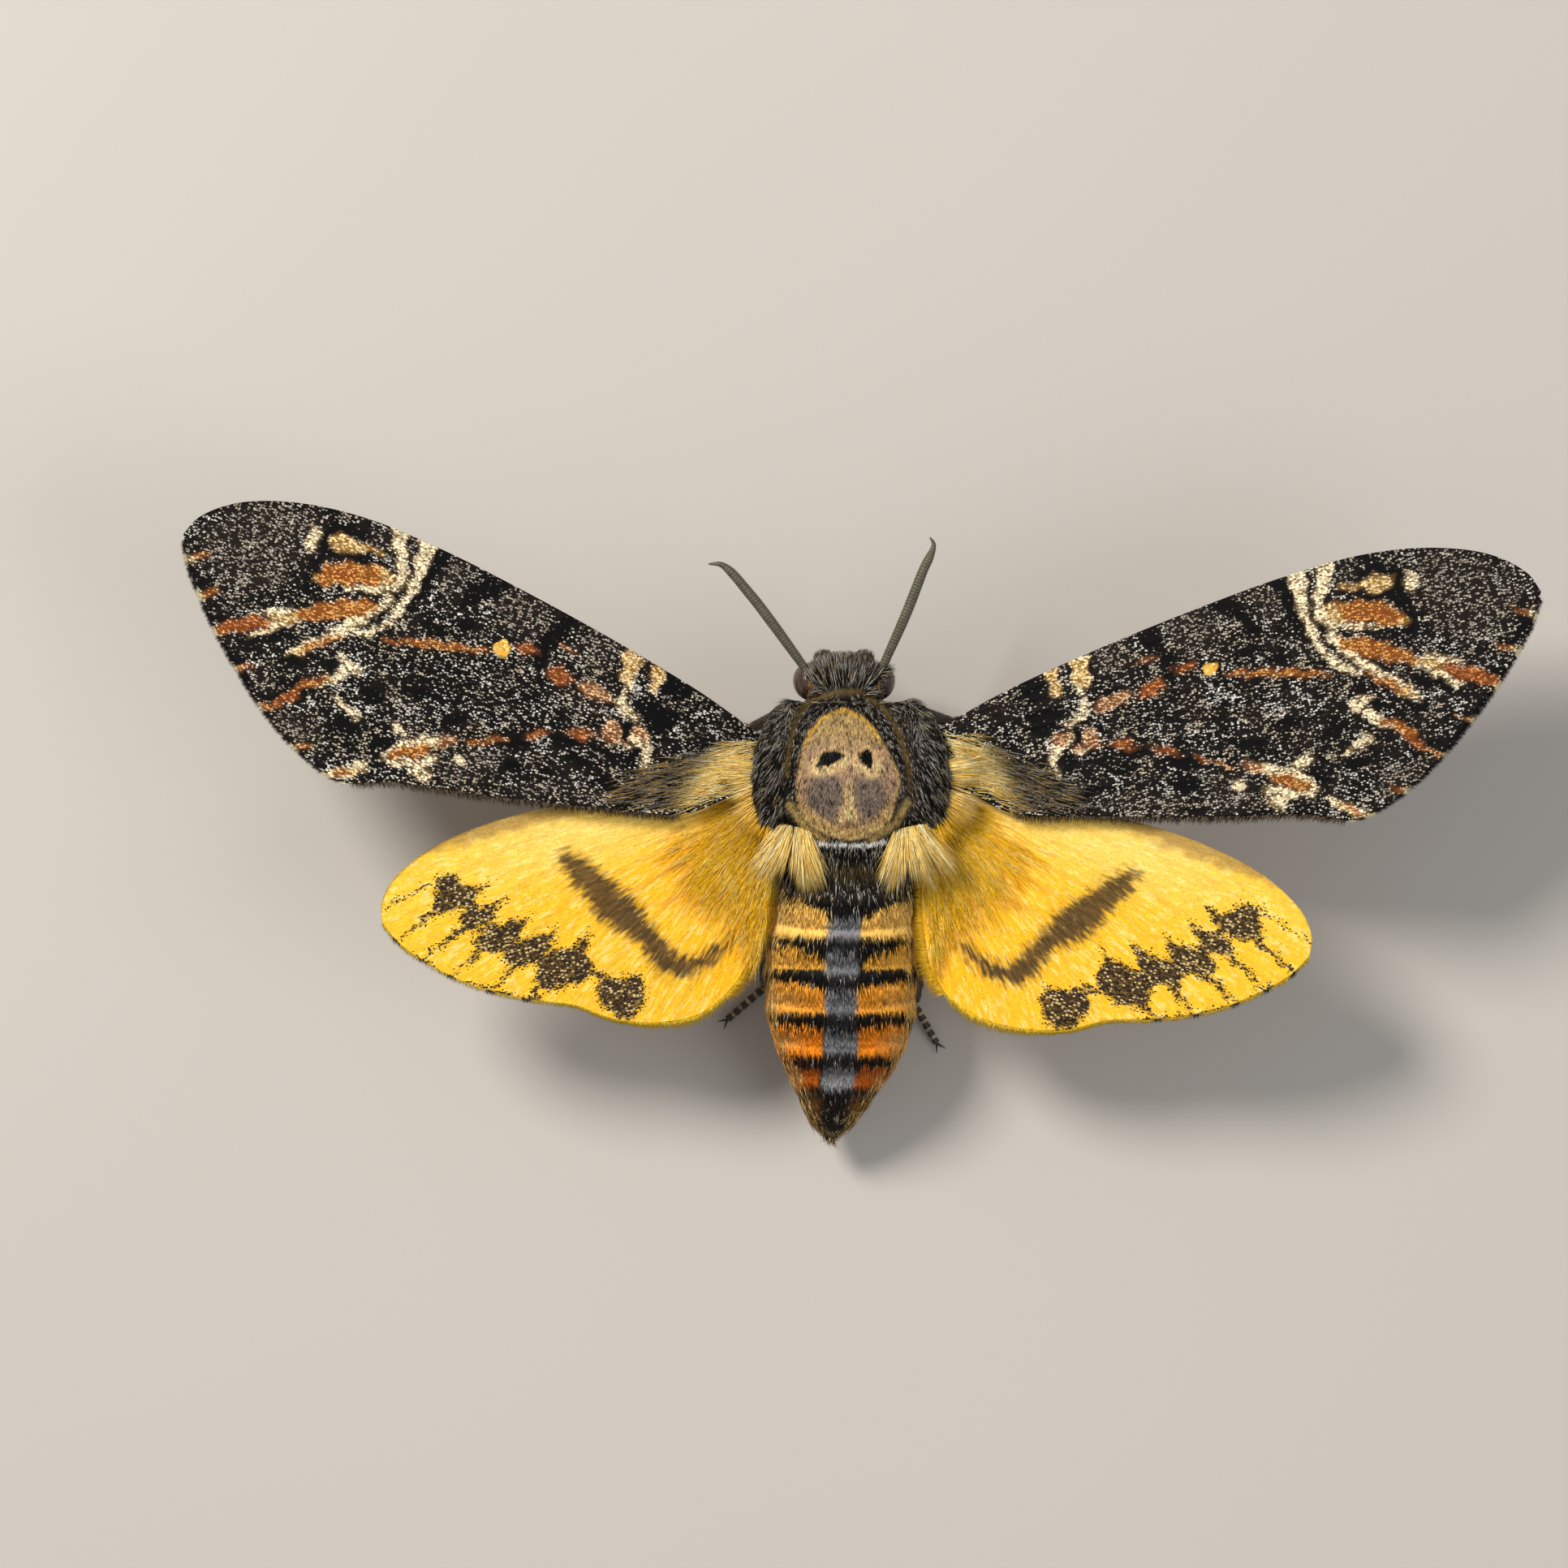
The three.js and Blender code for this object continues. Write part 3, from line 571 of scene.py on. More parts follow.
WING_ROOT_OUT = 7.58
WING_ROOT_Z = 13.6
WING_RISE = math.tan(math.radians(7))
MEMBRANE = 0.16
MEMBRANE_AT_ROOT = 0.8
VEIN_RIDGE = 0.09
VEIN_HALF = 0.012

# %% A wing's points
def patch_between(edges, along, across):
    lines = {name: smooth_line(points) for name, points in edges.items()}
    lead = lines["lead"](along)
    inner = lines["inner"](along)
    outer = lines["outer"](across)
    corner = {"in_front": lines["lead"](0), "in_back": lines["inner"](0), "out_front": lines["lead"](1),
              "out_back": lines["inner"](1)}
    a = along[:, None]
    c = across[:, None]
    root = corner["in_front"] * (1 - c) + corner["in_back"] * c
    tip = corner["out_front"] * (1 - c) + corner["out_back"] * c
    ruled = lead * (1 - c) + inner * c + root * (1 - a) + outer * a
    return ruled - (root * (1 - a) + tip * a)


def wing_to_plan(wing, flat, lift=0.0):
    """Carry points of the wing's own plane to the plan, on the wing's curved middle surface."""
    turn = math.radians(wing["sweep"])
    x = wing["root"][0] + flat[:, 0] * math.cos(turn) - flat[:, 1] * math.sin(turn)
    y = wing["root"][1] + flat[:, 0] * math.sin(turn) + flat[:, 1] * math.cos(turn)
    out = x - WING_ROOT_OUT
    z = WING_ROOT_Z + out * WING_RISE + 0.0011 * out * (46 - out) - wing["drop"] - 0.0035 * (y + 4) ** 2
    return np.stack([wing["side"] * x, y, z + lift], axis=1)


def wing_flat(wing, edges, along, across):
    flat = patch_between(edges, along, across)
    flat[:, 0] += wing["tuck"] * along * across ** 4
    return flat


def vein_height(along, across, veins):
    ridge = np.zeros(len(along))
    for place in veins:
        wide = VEIN_HALF * (1.25 - 0.5 * along)
        ridge = np.maximum(ridge, np.exp(-((across - place) / wide) ** 2))
    return ridge * np.clip(along * 8, 0, 1) * (1 - 0.5 * along)


def wing_mesh(name, edges, veins, columns, rows):
    wing = WINGS[name]
    flat_mesh = mesh_of(grid(columns, rows), name)
    share = points_of(flat_mesh)
    along = share[:, 0]
    across = 1 - share[:, 1]
    flat = wing_flat(wing, edges, along, across)
    ridge = vein_height(along, across, veins)
    thick = MEMBRANE + (MEMBRANE_AT_ROOT - MEMBRANE) * (1 - along) ** 5
    upper = wing_to_plan(wing, flat, thick / 2 + ridge * VEIN_RIDGE)
    lower = wing_to_plan(wing, flat, -thick / 2 - ridge * VEIN_RIDGE * 0.6)
    return flat_mesh, flat, along, across, upper, lower


# %% [markdown]
# ## Closing a wing
# The top and the underside are the same grid, once as it is and once turned over. Bridging their rims
# closes the plate. The depth fields and the flat position are stored on the points of both.

# %% Close a wing and store its fields
def close_wing(name, flat_mesh, upper, lower, fields, turned):
    form = bmesh.new()
    move_points(flat_mesh, upper)
    form.from_mesh(flat_mesh)
    count = len(form.verts)
    top_rim = [edge for edge in form.edges if edge.is_boundary]
    move_points(flat_mesh, lower)
    form.from_mesh(flat_mesh)
    form.verts.ensure_lookup_table()
    under_faces = [face for face in form.faces if face.verts[0].index >= count]
    bmesh.ops.reverse_faces(form, faces=under_faces)
    under_rim = [edge for edge in form.edges if edge.is_boundary and edge not in set(top_rim)]
    bmesh.ops.bridge_loops(form, edges=top_rim + under_rim)
    if turned:
        bmesh.ops.reverse_faces(form, faces=form.faces)
    mesh = mesh_of(form, name)
    for title, values in fields.items():
        layer = mesh.attributes.new(title, "FLOAT", "POINT")
        layer.data.foreach_set("value", np.tile(values, 2).astype(np.float32))
    move_points(mesh, to_frame(points_of(mesh)))
    bpy.data.meshes.remove(flat_mesh)
    return mesh


# %% [markdown]
# ## The forewing's marks
# The forewing looks like lichen on bark: charcoal with pale flecks, two pale lines across the middle,
# and streaks of tan, orange and rust towards the margin. The marks are listed by colour, measured
# out along the wing and forwards from its root.

# %% Forewing marks
FOREWING_MARKS = {
    "pale": [
        ("line", [(28.95, 6.0), (29.0, 4.6), (28.9, 3.3), (28.9, 2.3), (29.2, 1.2), (29.4, 0.3),
                  (29.7, -0.7), (30.2, -1.5), (31.1, -2.4), (32.2, -2.9)],
         [0.85, 0.62, 0.45, 0.36, 0.33, 0.33, 0.28, 0.3, 0.3, 0.2]),
        ("line", [(31.3, 6.0), (31.1, 4.8), (30.5, 3.8), (30.1, 2.8), (30.2, 1.9), (31.0, 1.25), (32.4, 0.8),
                  (34.0, 0.35)], [0.75, 0.55, 0.42, 0.42, 0.4, 0.35, 0.3, 0.2]),
        ("line", [(30.5, 0.5), (31.0, -0.3), (31.7, -1.2), (32.5, -2.1), (33.4, -3.1), (34.4, -4.0),
                  (35.6, -5.0), (36.5, -6.0)], [0.4, 0.36, 0.4, 0.42, 0.4, 0.34, 0.3, 0.15]),
        ("line", [(36.6, -3.2), (37.6, -3.85), (38.6, -4.6), (39.8, -5.6)], [0.2, 0.3, 0.34, 0.15]),
        ("line", [(37.4, -2.75), (38.6, -3.15), (40.2, -3.9)], [0.25, 0.26, 0.1]),
        ("line", [(32.1, -6.1), (32.7, -6.8), (33.6, -7.6)], [0.42, 0.42, 0.15]),
        ("spot", (37.6, 3.2), (0.55, 0.9), 0), ("spot", (26.5, -8.8), (0.7, 0.4), 20),
        ("line", [(23.1, -8.6), (24.2, -9.1), (26.0, -10.2), (27.0, -11.1)], [0.4, 0.5, 0.5, 0.2]),
        ("line", [(23.2, -10.2), (24.6, -11.0), (26.6, -11.5)], [0.35, 0.4, 0.15]),
        ("spot", (23.8, -11.5), (0.8, 0.55), 0),
        ("line", [(28.1, -12.3), (28.9, -13.0), (30.3, -13.9)], 0.38),
        ("line", [(8.6, 2.4), (8.7, 1.3), (8.6, 0.4)], [0.4, 0.4, 0.2]),
        ("line", [(11.0, 2.6), (10.8, 1.2), (10.6, 0.3)], [0.75, 0.6, 0.3]),
        ("line", [(10.7, -0.3), (10.7, -1.1), (10.3, -1.7), (9.2, -2.1)], [0.2, 0.4, 0.35, 0.25]),
        ("line", [(9.1, -2.9), (8.9, -3.6), (7.8, -3.9), (7.4, -4.8), (7.5, -6.4)],
         [0.2, 0.25, 0.45, 0.3, 0.16]),
        ("line", [(9.0, -4.3), (10.2, -4.4)], 0.16), ("line", [(31.2, -5.4), (32.6, -4.9)], [0.5, 0.2]),
        ("line", [(29.8, -8.9), (31.8, -8.1)], [0.2, 0.3]), ("spot", (21.2, -9.6), (0.5, 0.4), 0),
    ],
    "dusted": [
        ("outline", [(18.0, 4.2), (22.0, 4.9), (22.6, 2.6), (20.4, 1.0), (18.4, 1.6)]),
        ("outline", [(25.2, 5.2), (27.0, 5.4), (27.4, 3.0), (26.2, 2.2), (25.2, 3.0)]),
        ("outline", [(31.8, 5.6), (33.6, 5.4), (33.4, 3.9), (31.6, 3.6)]),
        ("outline", [(38.0, 5.4), (42.5, 4.4), (46.2, 1.0), (44.6, -1.6), (41.0, -2.6), (38.6, -1.0)]),
        ("outline", [(18.0, -8.0), (22.0, -8.6), (22.4, -11.6), (18.6, -10.8)]),
        ("outline", [(9.8, -8.2), (13.0, -8.4), (16.6, -9.6), (16.4, -10.9), (10.0, -9.4)]),
        ("outline", [(12.0, 3.0), (15.0, 3.6), (15.6, 1.8), (12.6, 0.6)]),
        ("outline", [(32.0, -10.6), (36.0, -10.2), (35.6, -11.8), (31.6, -13.2)]),
    ],
    "black": [
        ("outline", [(5.9, 1.7), (8.0, 2.2), (7.9, 0.6), (6.9, 0.1), (6.0, 0.6)]),
        ("outline", [(6.0, -0.6), (8.8, -0.4), (9.0, -1.4), (7.2, -2.8), (6.2, -2.0)]),
        ("line", [(16.6, 4.0), (17.0, 2.6), (17.7, 1.2), (17.8, -0.6)], [0.6, 0.65, 0.6, 0.35]),
        ("line", [(22.2, 4.9), (23.2, 4.2), (24.2, 3.2), (24.9, 2.0)], [0.5, 0.7, 0.65, 0.3]),
        ("line", [(27.4, 5.4), (28.0, 4.1), (28.1, 2.8), (28.3, 1.6), (28.7, 0.5)],
         [0.5, 0.55, 0.45, 0.35, 0.25]),
        ("line", [(29.75, 4.4), (29.6, 3.3), (29.75, 2.3), (29.7, 1.3), (30.4, 0.9), (30.1, 0.1),
                  (30.8, -1.0), (31.7, -1.8), (32.7, -2.9)],
         [0.14, 0.14, 0.3, 0.18, 0.3, 0.22, 0.16, 0.3, 0.14]),
        ("line", [(33.8, 4.6), (35.2, 4.75), (36.5, 4.3), (36.8, 3.3)], [0.3, 0.38, 0.5, 0.55]),
        ("line", [(33.2, 2.95), (35.0, 2.85), (36.4, 2.5), (36.9, 1.4), (36.9, 0.2), (36.7, -0.8)],
         [0.15, 0.25, 0.4, 0.42, 0.5, 0.35]),
        ("line", [(36.6, -4.4), (37.8, -4.8), (38.8, -5.6)], [0.35, 0.5, 0.3]),
        ("spot", (35.9, -6.4), (1.1, 0.42), -15), ("spot", (33.0, -5.7), (0.7, 0.3), -25),
        ("spot", (34.9, -7.7), (0.9, 0.35), -35), ("spot", (27.4, -10.2), (0.9, 0.5), -20),
        ("spot", (30.6, -9.8), (1.0, 0.5), 10), ("spot", (26.2, -0.5), (1.0, 0.4), 0),
        ("spot", (13.8, -5.5), (1.2, 0.42), -8), ("spot", (10.6, -5.4), (1.0, 0.3), 0),
        ("line", [(9.5, -2.7), (9.5, -3.8)], 0.35), ("spot", (8.6, -5.0), (0.5, 0.8), 0),
        ("spot", (9.3, -7.7), (1.4, 0.5), 12), ("spot", (17.4, -7.0), (1.1, 0.5), -20),
        ("spot", (17.3, -8.7), (0.9, 0.6), 0), ("spot", (24.2, 0.6), (0.9, 0.4), 0),
        ("spot", (12.6, -6.6), (0.8, 0.35), 0), ("spot", (22.6, -6.6), (1.2, 0.45), -20),
        ("spot", (26.0, -5.6), (1.4, 0.4), -10), ("spot", (29.2, -6.9), (1.2, 0.4), 10),
        ("line", [(45.8, -1.9), (43.9, -3.4)], 0.3), ("line", [(43.4, -5.2), (42.2, -5.0)], 0.25),
        ("line", [(41.3, -6.9), (38.6, -9.3)], 0.3), ("line", [(37.9, -9.9), (35.2, -9.2)], 0.25),
    ],
    "gold": [
        ("spot", (35.15, 3.6), (1.15, 0.72), 0), ("line", [(32.0, 3.9), (34.4, 3.65)], [0.15, 0.34]),
        ("outline", [(30.5, 2.7), (31.8, 2.8), (32.6, 2.5), (32.3, 1.25), (31.2, 1.4), (30.5, 1.9)]),
        ("line", [(34.2, 0.8), (35.6, 0.35), (36.5, 0.35)], [0.15, 0.3, 0.3]),
        ("line", [(34.9, -4.9), (35.8, -5.6)], 0.25),
        ("line", [(36.2, -2.7), (37.2, -3.2), (38.4, -3.75)], 0.32),
        ("line", [(24.2, -1.25), (27.0, -1.85)], 0.14), ("line", [(28.4, -12.7), (29.4, -13.5)], 0.22),
        ("outline", [(8.2, 2.4), (9.2, 2.4), (9.1, 0.4), (8.3, 0.4)]),
        ("outline", [(10.2, 2.7), (11.7, 2.7), (11.4, 0.4), (10.4, 0.4)]),
    ],
    "orange": [
        ("outline", [(31.6, 2.75), (33.2, 2.6), (34.6, 2.3), (36.0, 1.6), (36.5, 0.5), (35.7, 0.0),
                     (34.2, 0.65), (32.6, 1.1), (31.8, 1.3)]),
        ("line", [(31.2, -0.25), (32.2, -0.65), (33.4, -1.2), (35.2, -2.1), (36.6, -2.75)],
         [0.25, 0.62, 0.75, 0.66, 0.3]),
        ("line", [(32.9, -3.25), (34.3, -4.3), (35.4, -5.1)], [0.14, 0.3, 0.2]),
        ("line", [(33.0, -6.9), (34.3, -7.6), (35.2, -8.6)], [0.2, 0.36, 0.3]),
        ("line", [(22.0, -0.8), (24.0, -1.2), (26.9, -1.8), (29.9, -2.6)], [0.14, 0.26, 0.3, 0.14]),
        ("line", [(24.0, -9.6), (25.2, -10.2), (26.4, -10.9)], [0.4, 0.5, 0.3]),
        ("spot", (16.1, 1.5), (0.55, 0.16), 8), ("line", [(18.3, -6.7), (20.9, -8.1)], 0.14),
    ],
    "peach": [
        ("spot", (8.45, -3.1), (0.75, 0.5), 10), ("spot", (10.65, -3.6), (0.7, 0.85), 0),
        ("spot", (12.9, -1.1), (1.5, 0.55), 8), ("spot", (10.1, -4.15), (0.8, 0.2), 0),
        ("spot", (22.6, -8.5), (0.85, 0.4), -30),
    ],
    "rust": [
        ("line", [(39.0, -4.1), (40.2, -4.7), (41.4, -5.3), (42.6, -6.0)], [0.42, 0.58, 0.5, 0.2]),
        ("line", [(34.9, -8.8), (35.5, -9.3), (36.1, -9.9)], [0.3, 0.34, 0.2]),
        ("spot", (16.0, -0.8), (1.05, 0.6), 12), ("spot", (13.0, -4.6), (0.95, 0.42), -15),
        ("spot", (16.1, -5.7), (0.9, 0.3), -30), ("spot", (19.0, 0.35), (0.8, 0.35), 0),
        ("line", [(33.4, 1.5), (35.0, 1.2)], [0.15, 0.3]), ("line", [(29.3, -13.1), (29.9, -13.7)], 0.2),
    ],
    "spot": [("spot", (20.85, -0.2), (0.62, 0.6), 0)],
}
MARGIN_TUFTS = [(46.2, -1.3), (44.5, -3.8), (42.4, -6.15), (40.1, -8.5), (37.4, -10.8), (33.8, -12.85),
                (30.6, -14.0), (29.2, -14.4)]
TUFT_STREAK = np.array((-1.3, 0.75))
for spot in MARGIN_TUFTS[:-2]:
    tip = np.array(spot)
    FOREWING_MARKS["orange"].append(("line", [tuple(tip + TUFT_STREAK * 0.3), tuple(tip + TUFT_STREAK)],
                                     [0.2, 0.1]))
    FOREWING_MARKS["pale"].append(("line", [spot, tuple(tip + TUFT_STREAK * 0.35)], [0.3, 0.12]))
print("forewing marks:", {name: len(marks) for name, marks in FOREWING_MARKS.items()})

# %% [markdown]
# ## The hindwing's marks
# The hindwing is yellow, with a brown inner band that hooks round near the body, and a row of dark
# chevrons whose spikes follow the veins. Streaks of orange run out from the root.

# %% Hindwing marks
INNER_BAND = [(16.3, -0.5), (15.4, -1.9), (14.5, -3.4), (13.8, -4.8), (12.9, -6.1), (12.0, -7.4),
              (11.3, -8.7), (10.9, -10.0), (10.3, -10.9), (8.9, -11.3), (7.3, -11.0), (5.5, -10.3)]
INNER_BAND_HALF = [0.55, 1.05, 1.15, 1.5, 1.45, 0.95, 0.85, 1.05, 0.95, 0.7, 0.6, 0.35]
# Each chevron: its outline from the tip round, and the line that runs from it to the margin
CHEVRONS = [
    ([(22.2, -0.8), (23.6, -1.0), (24.6, -0.4), (24.9, 0.4), (26.4, 0.6), (27.0, -0.8), (27.5, -1.9),
      (26.0, -2.6), (24.4, -2.5), (23.4, -1.8)], [(26.6, -1.9), (28.6, -2.7), (30.7, -3.5)]),
    ([(21.5, -2.4), (23.0, -2.6), (24.9, -2.6), (25.8, -3.4), (25.0, -4.3), (23.4, -4.1), (22.5, -3.4)],
     [(25.0, -3.7), (27.0, -4.6), (29.0, -5.4)]),
    ([(20.0, -4.2), (21.6, -4.3), (23.8, -4.2), (25.0, -5.0), (24.6, -6.2), (22.8, -6.6), (21.5, -6.1),
      (20.7, -5.1)], [(24.2, -5.8), (25.8, -6.6), (27.3, -7.4)]),
    ([(17.9, -5.5), (19.4, -5.8), (21.8, -5.8), (23.0, -6.6), (22.6, -7.9), (20.6, -8.1), (19.3, -7.5),
      (18.6, -6.5)], [(22.0, -7.6), (23.3, -8.5), (24.6, -9.3)]),
    ([(15.8, -6.6), (17.2, -7.3), (18.6, -7.3), (20.2, -7.5), (20.8, -8.6), (21.0, -9.7), (20.4, -10.4),
      (18.4, -10.5), (16.9, -10.2), (16.1, -9.3), (16.4, -8.1)],
      [(20.4, -9.6), (21.2, -10.2), (22.0, -10.6)]),
]
HINDWING_MARKS = {
    "band": [("line", INNER_BAND, INNER_BAND_HALF)],
    "brown": [
        ("outline", [(12.8, -10.9), (14.0, -10.9), (15.1, -10.4), (15.7, -10.2), (16.5, -10.9),
                     (16.7, -11.9), (16.2, -13.0), (15.5, -13.9), (14.7, -14.2), (13.6, -13.6),
                     (12.9, -12.7), (12.7, -11.8)]),
        ("line", [(24.4, -2.3), (24.2, -3.1)], 0.5), ("line", [(23.7, -3.8), (23.0, -4.7)], 0.55),
        ("line", [(22.5, -6.0), (21.6, -6.8)], 0.6), ("line", [(20.4, -7.4), (19.6, -8.2)], 0.7),
        ("line", [(17.0, -9.8), (15.6, -10.4)], 0.35),
        ("line", [(26.9, 0.1), (29, -0.35), (31.3, -0.9)], [0.12, 0.08, 0.08]),
        ("line", [(29.6, -5.0), (28.4, -6.2)], 0.16),
        ("line", [(26.4, -8.1), (24.9, -9.2), (23.3, -9.95)], 0.3),
        ("line", [(22.6, -10.3), (20.8, -11.0)], 0.24),
    ],
    "amber": [
        ("line", [(2.3, -4.0), (4.5, -6.0), (6.7, -8.0)], [0.2, 0.3, 0.1]),
        ("line", [(1.5, -2.5), (5.5, -4.6), (9, -6.2)], [0.2, 0.22, 0.1]),
        ("line", [(2.5, -1.5), (8, -3.5), (12, -4.2)], [0.3, 0.3, 0.1]),
        ("line", [(1.5, -5.5), (3.5, -8.5), (5, -10)], [0.3, 0.3, 0.1]),
        ("line", [(4.0, -4.4), (8.0, -5.8), (11.0, -6.0)], [0.1, 0.35, 0.1]),
    ],
    "shade": [("line", [(11, 3.1), (15, 3.6), (18, 3.7), (21, 3.6), (27, 2.9)],
               [0.2, 0.9, 1.25, 1.15, 0.4])],
}
for outline, arm in CHEVRONS:
    HINDWING_MARKS["brown"].append(("outline", outline))
    HINDWING_MARKS["brown"].append(("line", arm, [0.4, 0.24, 0.14]))
print("hindwing marks:", {name: len(marks) for name, marks in HINDWING_MARKS.items()})

# %% [markdown]
# ## The forewing's material
# Each colour's depth field gets a ragged edge and is laid over the last one, like layers of powder.
# Pale flecks, drawn out along the wing, cover about a third of the charcoal ground. The underside of
# a hawkmoth's forewing is plainer, tawny with dusky flecks. The hindwing's colour is a row of thin
# washes, and its band frays along the hairs, which run out from the wing's root.

# %% Wing material helpers
def field(tree, name):
    return add(tree, "ShaderNodeAttribute", attribute_name=name).outputs["Fac"]


def fields_vector(tree, across, along):
    """A vector of two fields. The third, the seed, keeps the left and right wings from being alike."""
    parts = {"X": field(tree, across), "Y": field(tree, along), "Z": field(tree, "seed")}
    return add(tree, "ShaderNodeCombineXYZ", parts).outputs[0]


def stretch(tree, vector, by):
    return add(tree, "ShaderNodeVectorMath", {0: vector, 1: by}, operation="MULTIPLY").outputs[0]


def speckle(tree, vector, fineness, least, most):
    noise = add(tree, "ShaderNodeTexNoise", {"Vector": vector, "Scale": fineness,
                                             "Detail": 2.0, "Roughness": 0.6})
    return remap(tree, noise.outputs["Fac"], least, most, way="SMOOTHSTEP")


def frayed(tree, name, vector, fray, soft, fineness):
    """The mask of a mark: its depth field with a rim that frays along the vector."""
    inputs = {"Depth": field(tree, name), "Vector": vector, "Fray": fray, "Soft": soft, "Fineness": fineness}
    return use_group(tree, ragged_edge, inputs)["Mask"]


# %% Forewing material
forewing, tree, surface = new_material("forewing scales")
plan = fields_vector(tree, "out", "ahead")
streaky = stretch(tree, plan, (0.45, 1.0, 1.0))
base = blend(tree, speckle(tree, plan, 0.5, 0.4, 0.65), shade("#090706"), shade("#17110d"))
bright = blend(tree, speckle(tree, plan, 0.4, 0.4, 0.6), shade("#b3a58e"), shade("#cbc5ba"))
clump = add(tree, "ShaderNodeTexNoise", {"Vector": plan, "Scale": 0.9, "Detail": 3.0, "Roughness": 0.6})
density = remap(tree, clump.outputs["Fac"], 0.3, 0.7, 0.1, 0.6)
# Each layer: field, base colour, fleck colour, share of flecks, fray, softness, strength
LAYERS = [
    ("dusted", "#1c1611", "#a09484", 0.44, 0.9, 0.5, 0.8),
    ("black", "#040303", "#8f877b", 0.06, 0.35, 0.22, 0.96),
    ("pale", "#725c3e", "#f7e2b6", 0.86, 0.24, 0.24, 0.92),
    ("gold", "#86602a", "#ecc98a", 0.7, 0.25, 0.25, 0.92),
    ("orange", "#7a4216", "#dc9a4c", 0.54, 0.25, 0.25, 0.95),
    ("peach", "#74492c", "#e6b27e", 0.62, 0.25, 0.25, 0.88),
    ("rust", "#743a13", "#cc7c3c", 0.5, 0.25, 0.25, 0.9),
    ("spot", "#dca236", "#f6d27a", 0.6, 0.12, 0.1, 1.0),
]
for name, under_code, over_code, share, fray_by, soft, strength in LAYERS:
    mask = times(tree, frayed(tree, name, streaky, fray_by, soft, 2.2), strength)
    base = blend(tree, mask, base, shade(under_code))
    bright = blend(tree, mask, bright, shade(over_code))
    density = add(tree, "ShaderNodeMix", {0: mask, 2: density, 3: share}, data_type="FLOAT").outputs[0]
mosaic = use_group(tree, scale_mosaic, {"Vector": plan, "Density": density})
toned = remap(tree, mosaic["Tone"], 0.0, 1.0, 0.35, 1.25)
colour = blend(tree, mosaic["Fleck"], base, darker(tree, bright, toned))
under = blend(tree, speckle(tree, plan, 0.9, 0.4, 0.6), shade("#7a5a33"), shade("#a07a45"))
under = blend(tree, times(tree, mosaic["Tone"], 0.35), under, shade("#3f2e1e"))
colour = blend(tree, field(tree, "underside"), colour, under)
height = math_node(tree, "MULTIPLY_ADD", mosaic["Fleck"], 0.6, mosaic["Height"])
dress(tree, surface, colour, 0.7, height, 0.04, 0.7, Specular_IOR_Level=0.1)
print("forewing layers:", [name for name, *_ in LAYERS])

# %% Hindwing material
hindwing, tree, surface = new_material("hindwing scales")
plan = fields_vector(tree, "out", "ahead")
ahead = field(tree, "ahead")
out = field(tree, "out")
hairy = stretch(tree, fields_vector(tree, "reach", "bearing"), (0.16, 1.0, 1.0))
strands = speckle(tree, hairy, 4.0, 0.35, 0.7)
near = times(tree, remap(tree, out, 14.0, 5.0), remap(tree, ahead, 0.6, -2.0))
golden = times(tree, near, speckle(tree, hairy, 0.7, 0.2, 0.6))
tipward = times(tree, remap(tree, out, 17.0, 26.0), 0.8)
colour = blend(tree, remap(tree, ahead, -3.0, 1.0), shade("#f5bb26"), shade("#f6cf62"))
# Each wash: mask and colour
WASHES = [
    (golden, "#fbb404"),
    (tipward, "#f2c02c"),
    (times(tree, strands, 0.28), "#dd9318"),
    (times(tree, speckle(tree, hairy, 6.5, 0.5, 0.68), 0.5), "#fbe392"),
    (times(tree, field(tree, "vein"), 0.22), "#cf9a2c"),
    (times(tree, frayed(tree, "amber", hairy, 0.5, 0.45, 3.0), 0.35), "#d07c0c"),
    (times(tree, frayed(tree, "shade", hairy, 0.6, 0.6, 3.0), 0.75), "#8f6c3c"),
]
for mask, code in WASHES:
    colour = blend(tree, mask, colour, shade(code))
band_colour = blend(tree, remap(tree, out, 15.0, 11.5), shade("#2f1f12"), shade("#1b1216"))
band_colour = blend(tree, times(tree, strands, 0.36), band_colour, shade("#8d6838"))
colour = blend(tree, times(tree, frayed(tree, "band", hairy, 1.3, 0.6, 5.0), 0.94), colour, band_colour)
stipple = frayed(tree, "brown", stretch(tree, plan, (0.5, 1, 1)), 0.35, 0.5, 2.6)
mosaic = use_group(tree, scale_mosaic, {"Vector": plan, "Stretch": (0.6, 1.0, 1.0), "Fineness": 8.0,
                                        "Density": times(tree, stipple, 0.93)})
solid = remap(tree, stipple, 0.5, 1.0, 0.0, 0.88)
dark = blend(tree, mosaic["Tone"], shade("#1b1210"), shade("#3d2c1c"))
colour = blend(tree, math_node(tree, "MAXIMUM", mosaic["Fleck"], solid), colour, dark)
specks = use_group(tree, scale_mosaic, {"Vector": plan, "Stretch": (0.55, 1.0, 1.0), "Fineness": 6.5,
                                        "Density": times(tree, solid, 0.34)})
colour = blend(tree, times(tree, specks["Fleck"], 0.85), colour, shade("#d8bc80"))
colour = darker(tree, colour, remap(tree, mosaic["Tone"], 0.0, 1.0, 0.88, 1.1))
height = math_node(tree, "MULTIPLY_ADD", strands, 1.2, mosaic["Height"])
dress(tree, surface, colour, 0.6, height, 0.04, 0.6, Specular_IOR_Level=0.15)
print("hindwing washes:", [code for _, code in WASHES])

# %% Make the four wings
HAIR_ORIGIN = np.array((-4.0, 1.5))
HAIR_REACH = 14.0
MARK_WOBBLE = {"forewing": 0.12, "hindwing": 0.1}


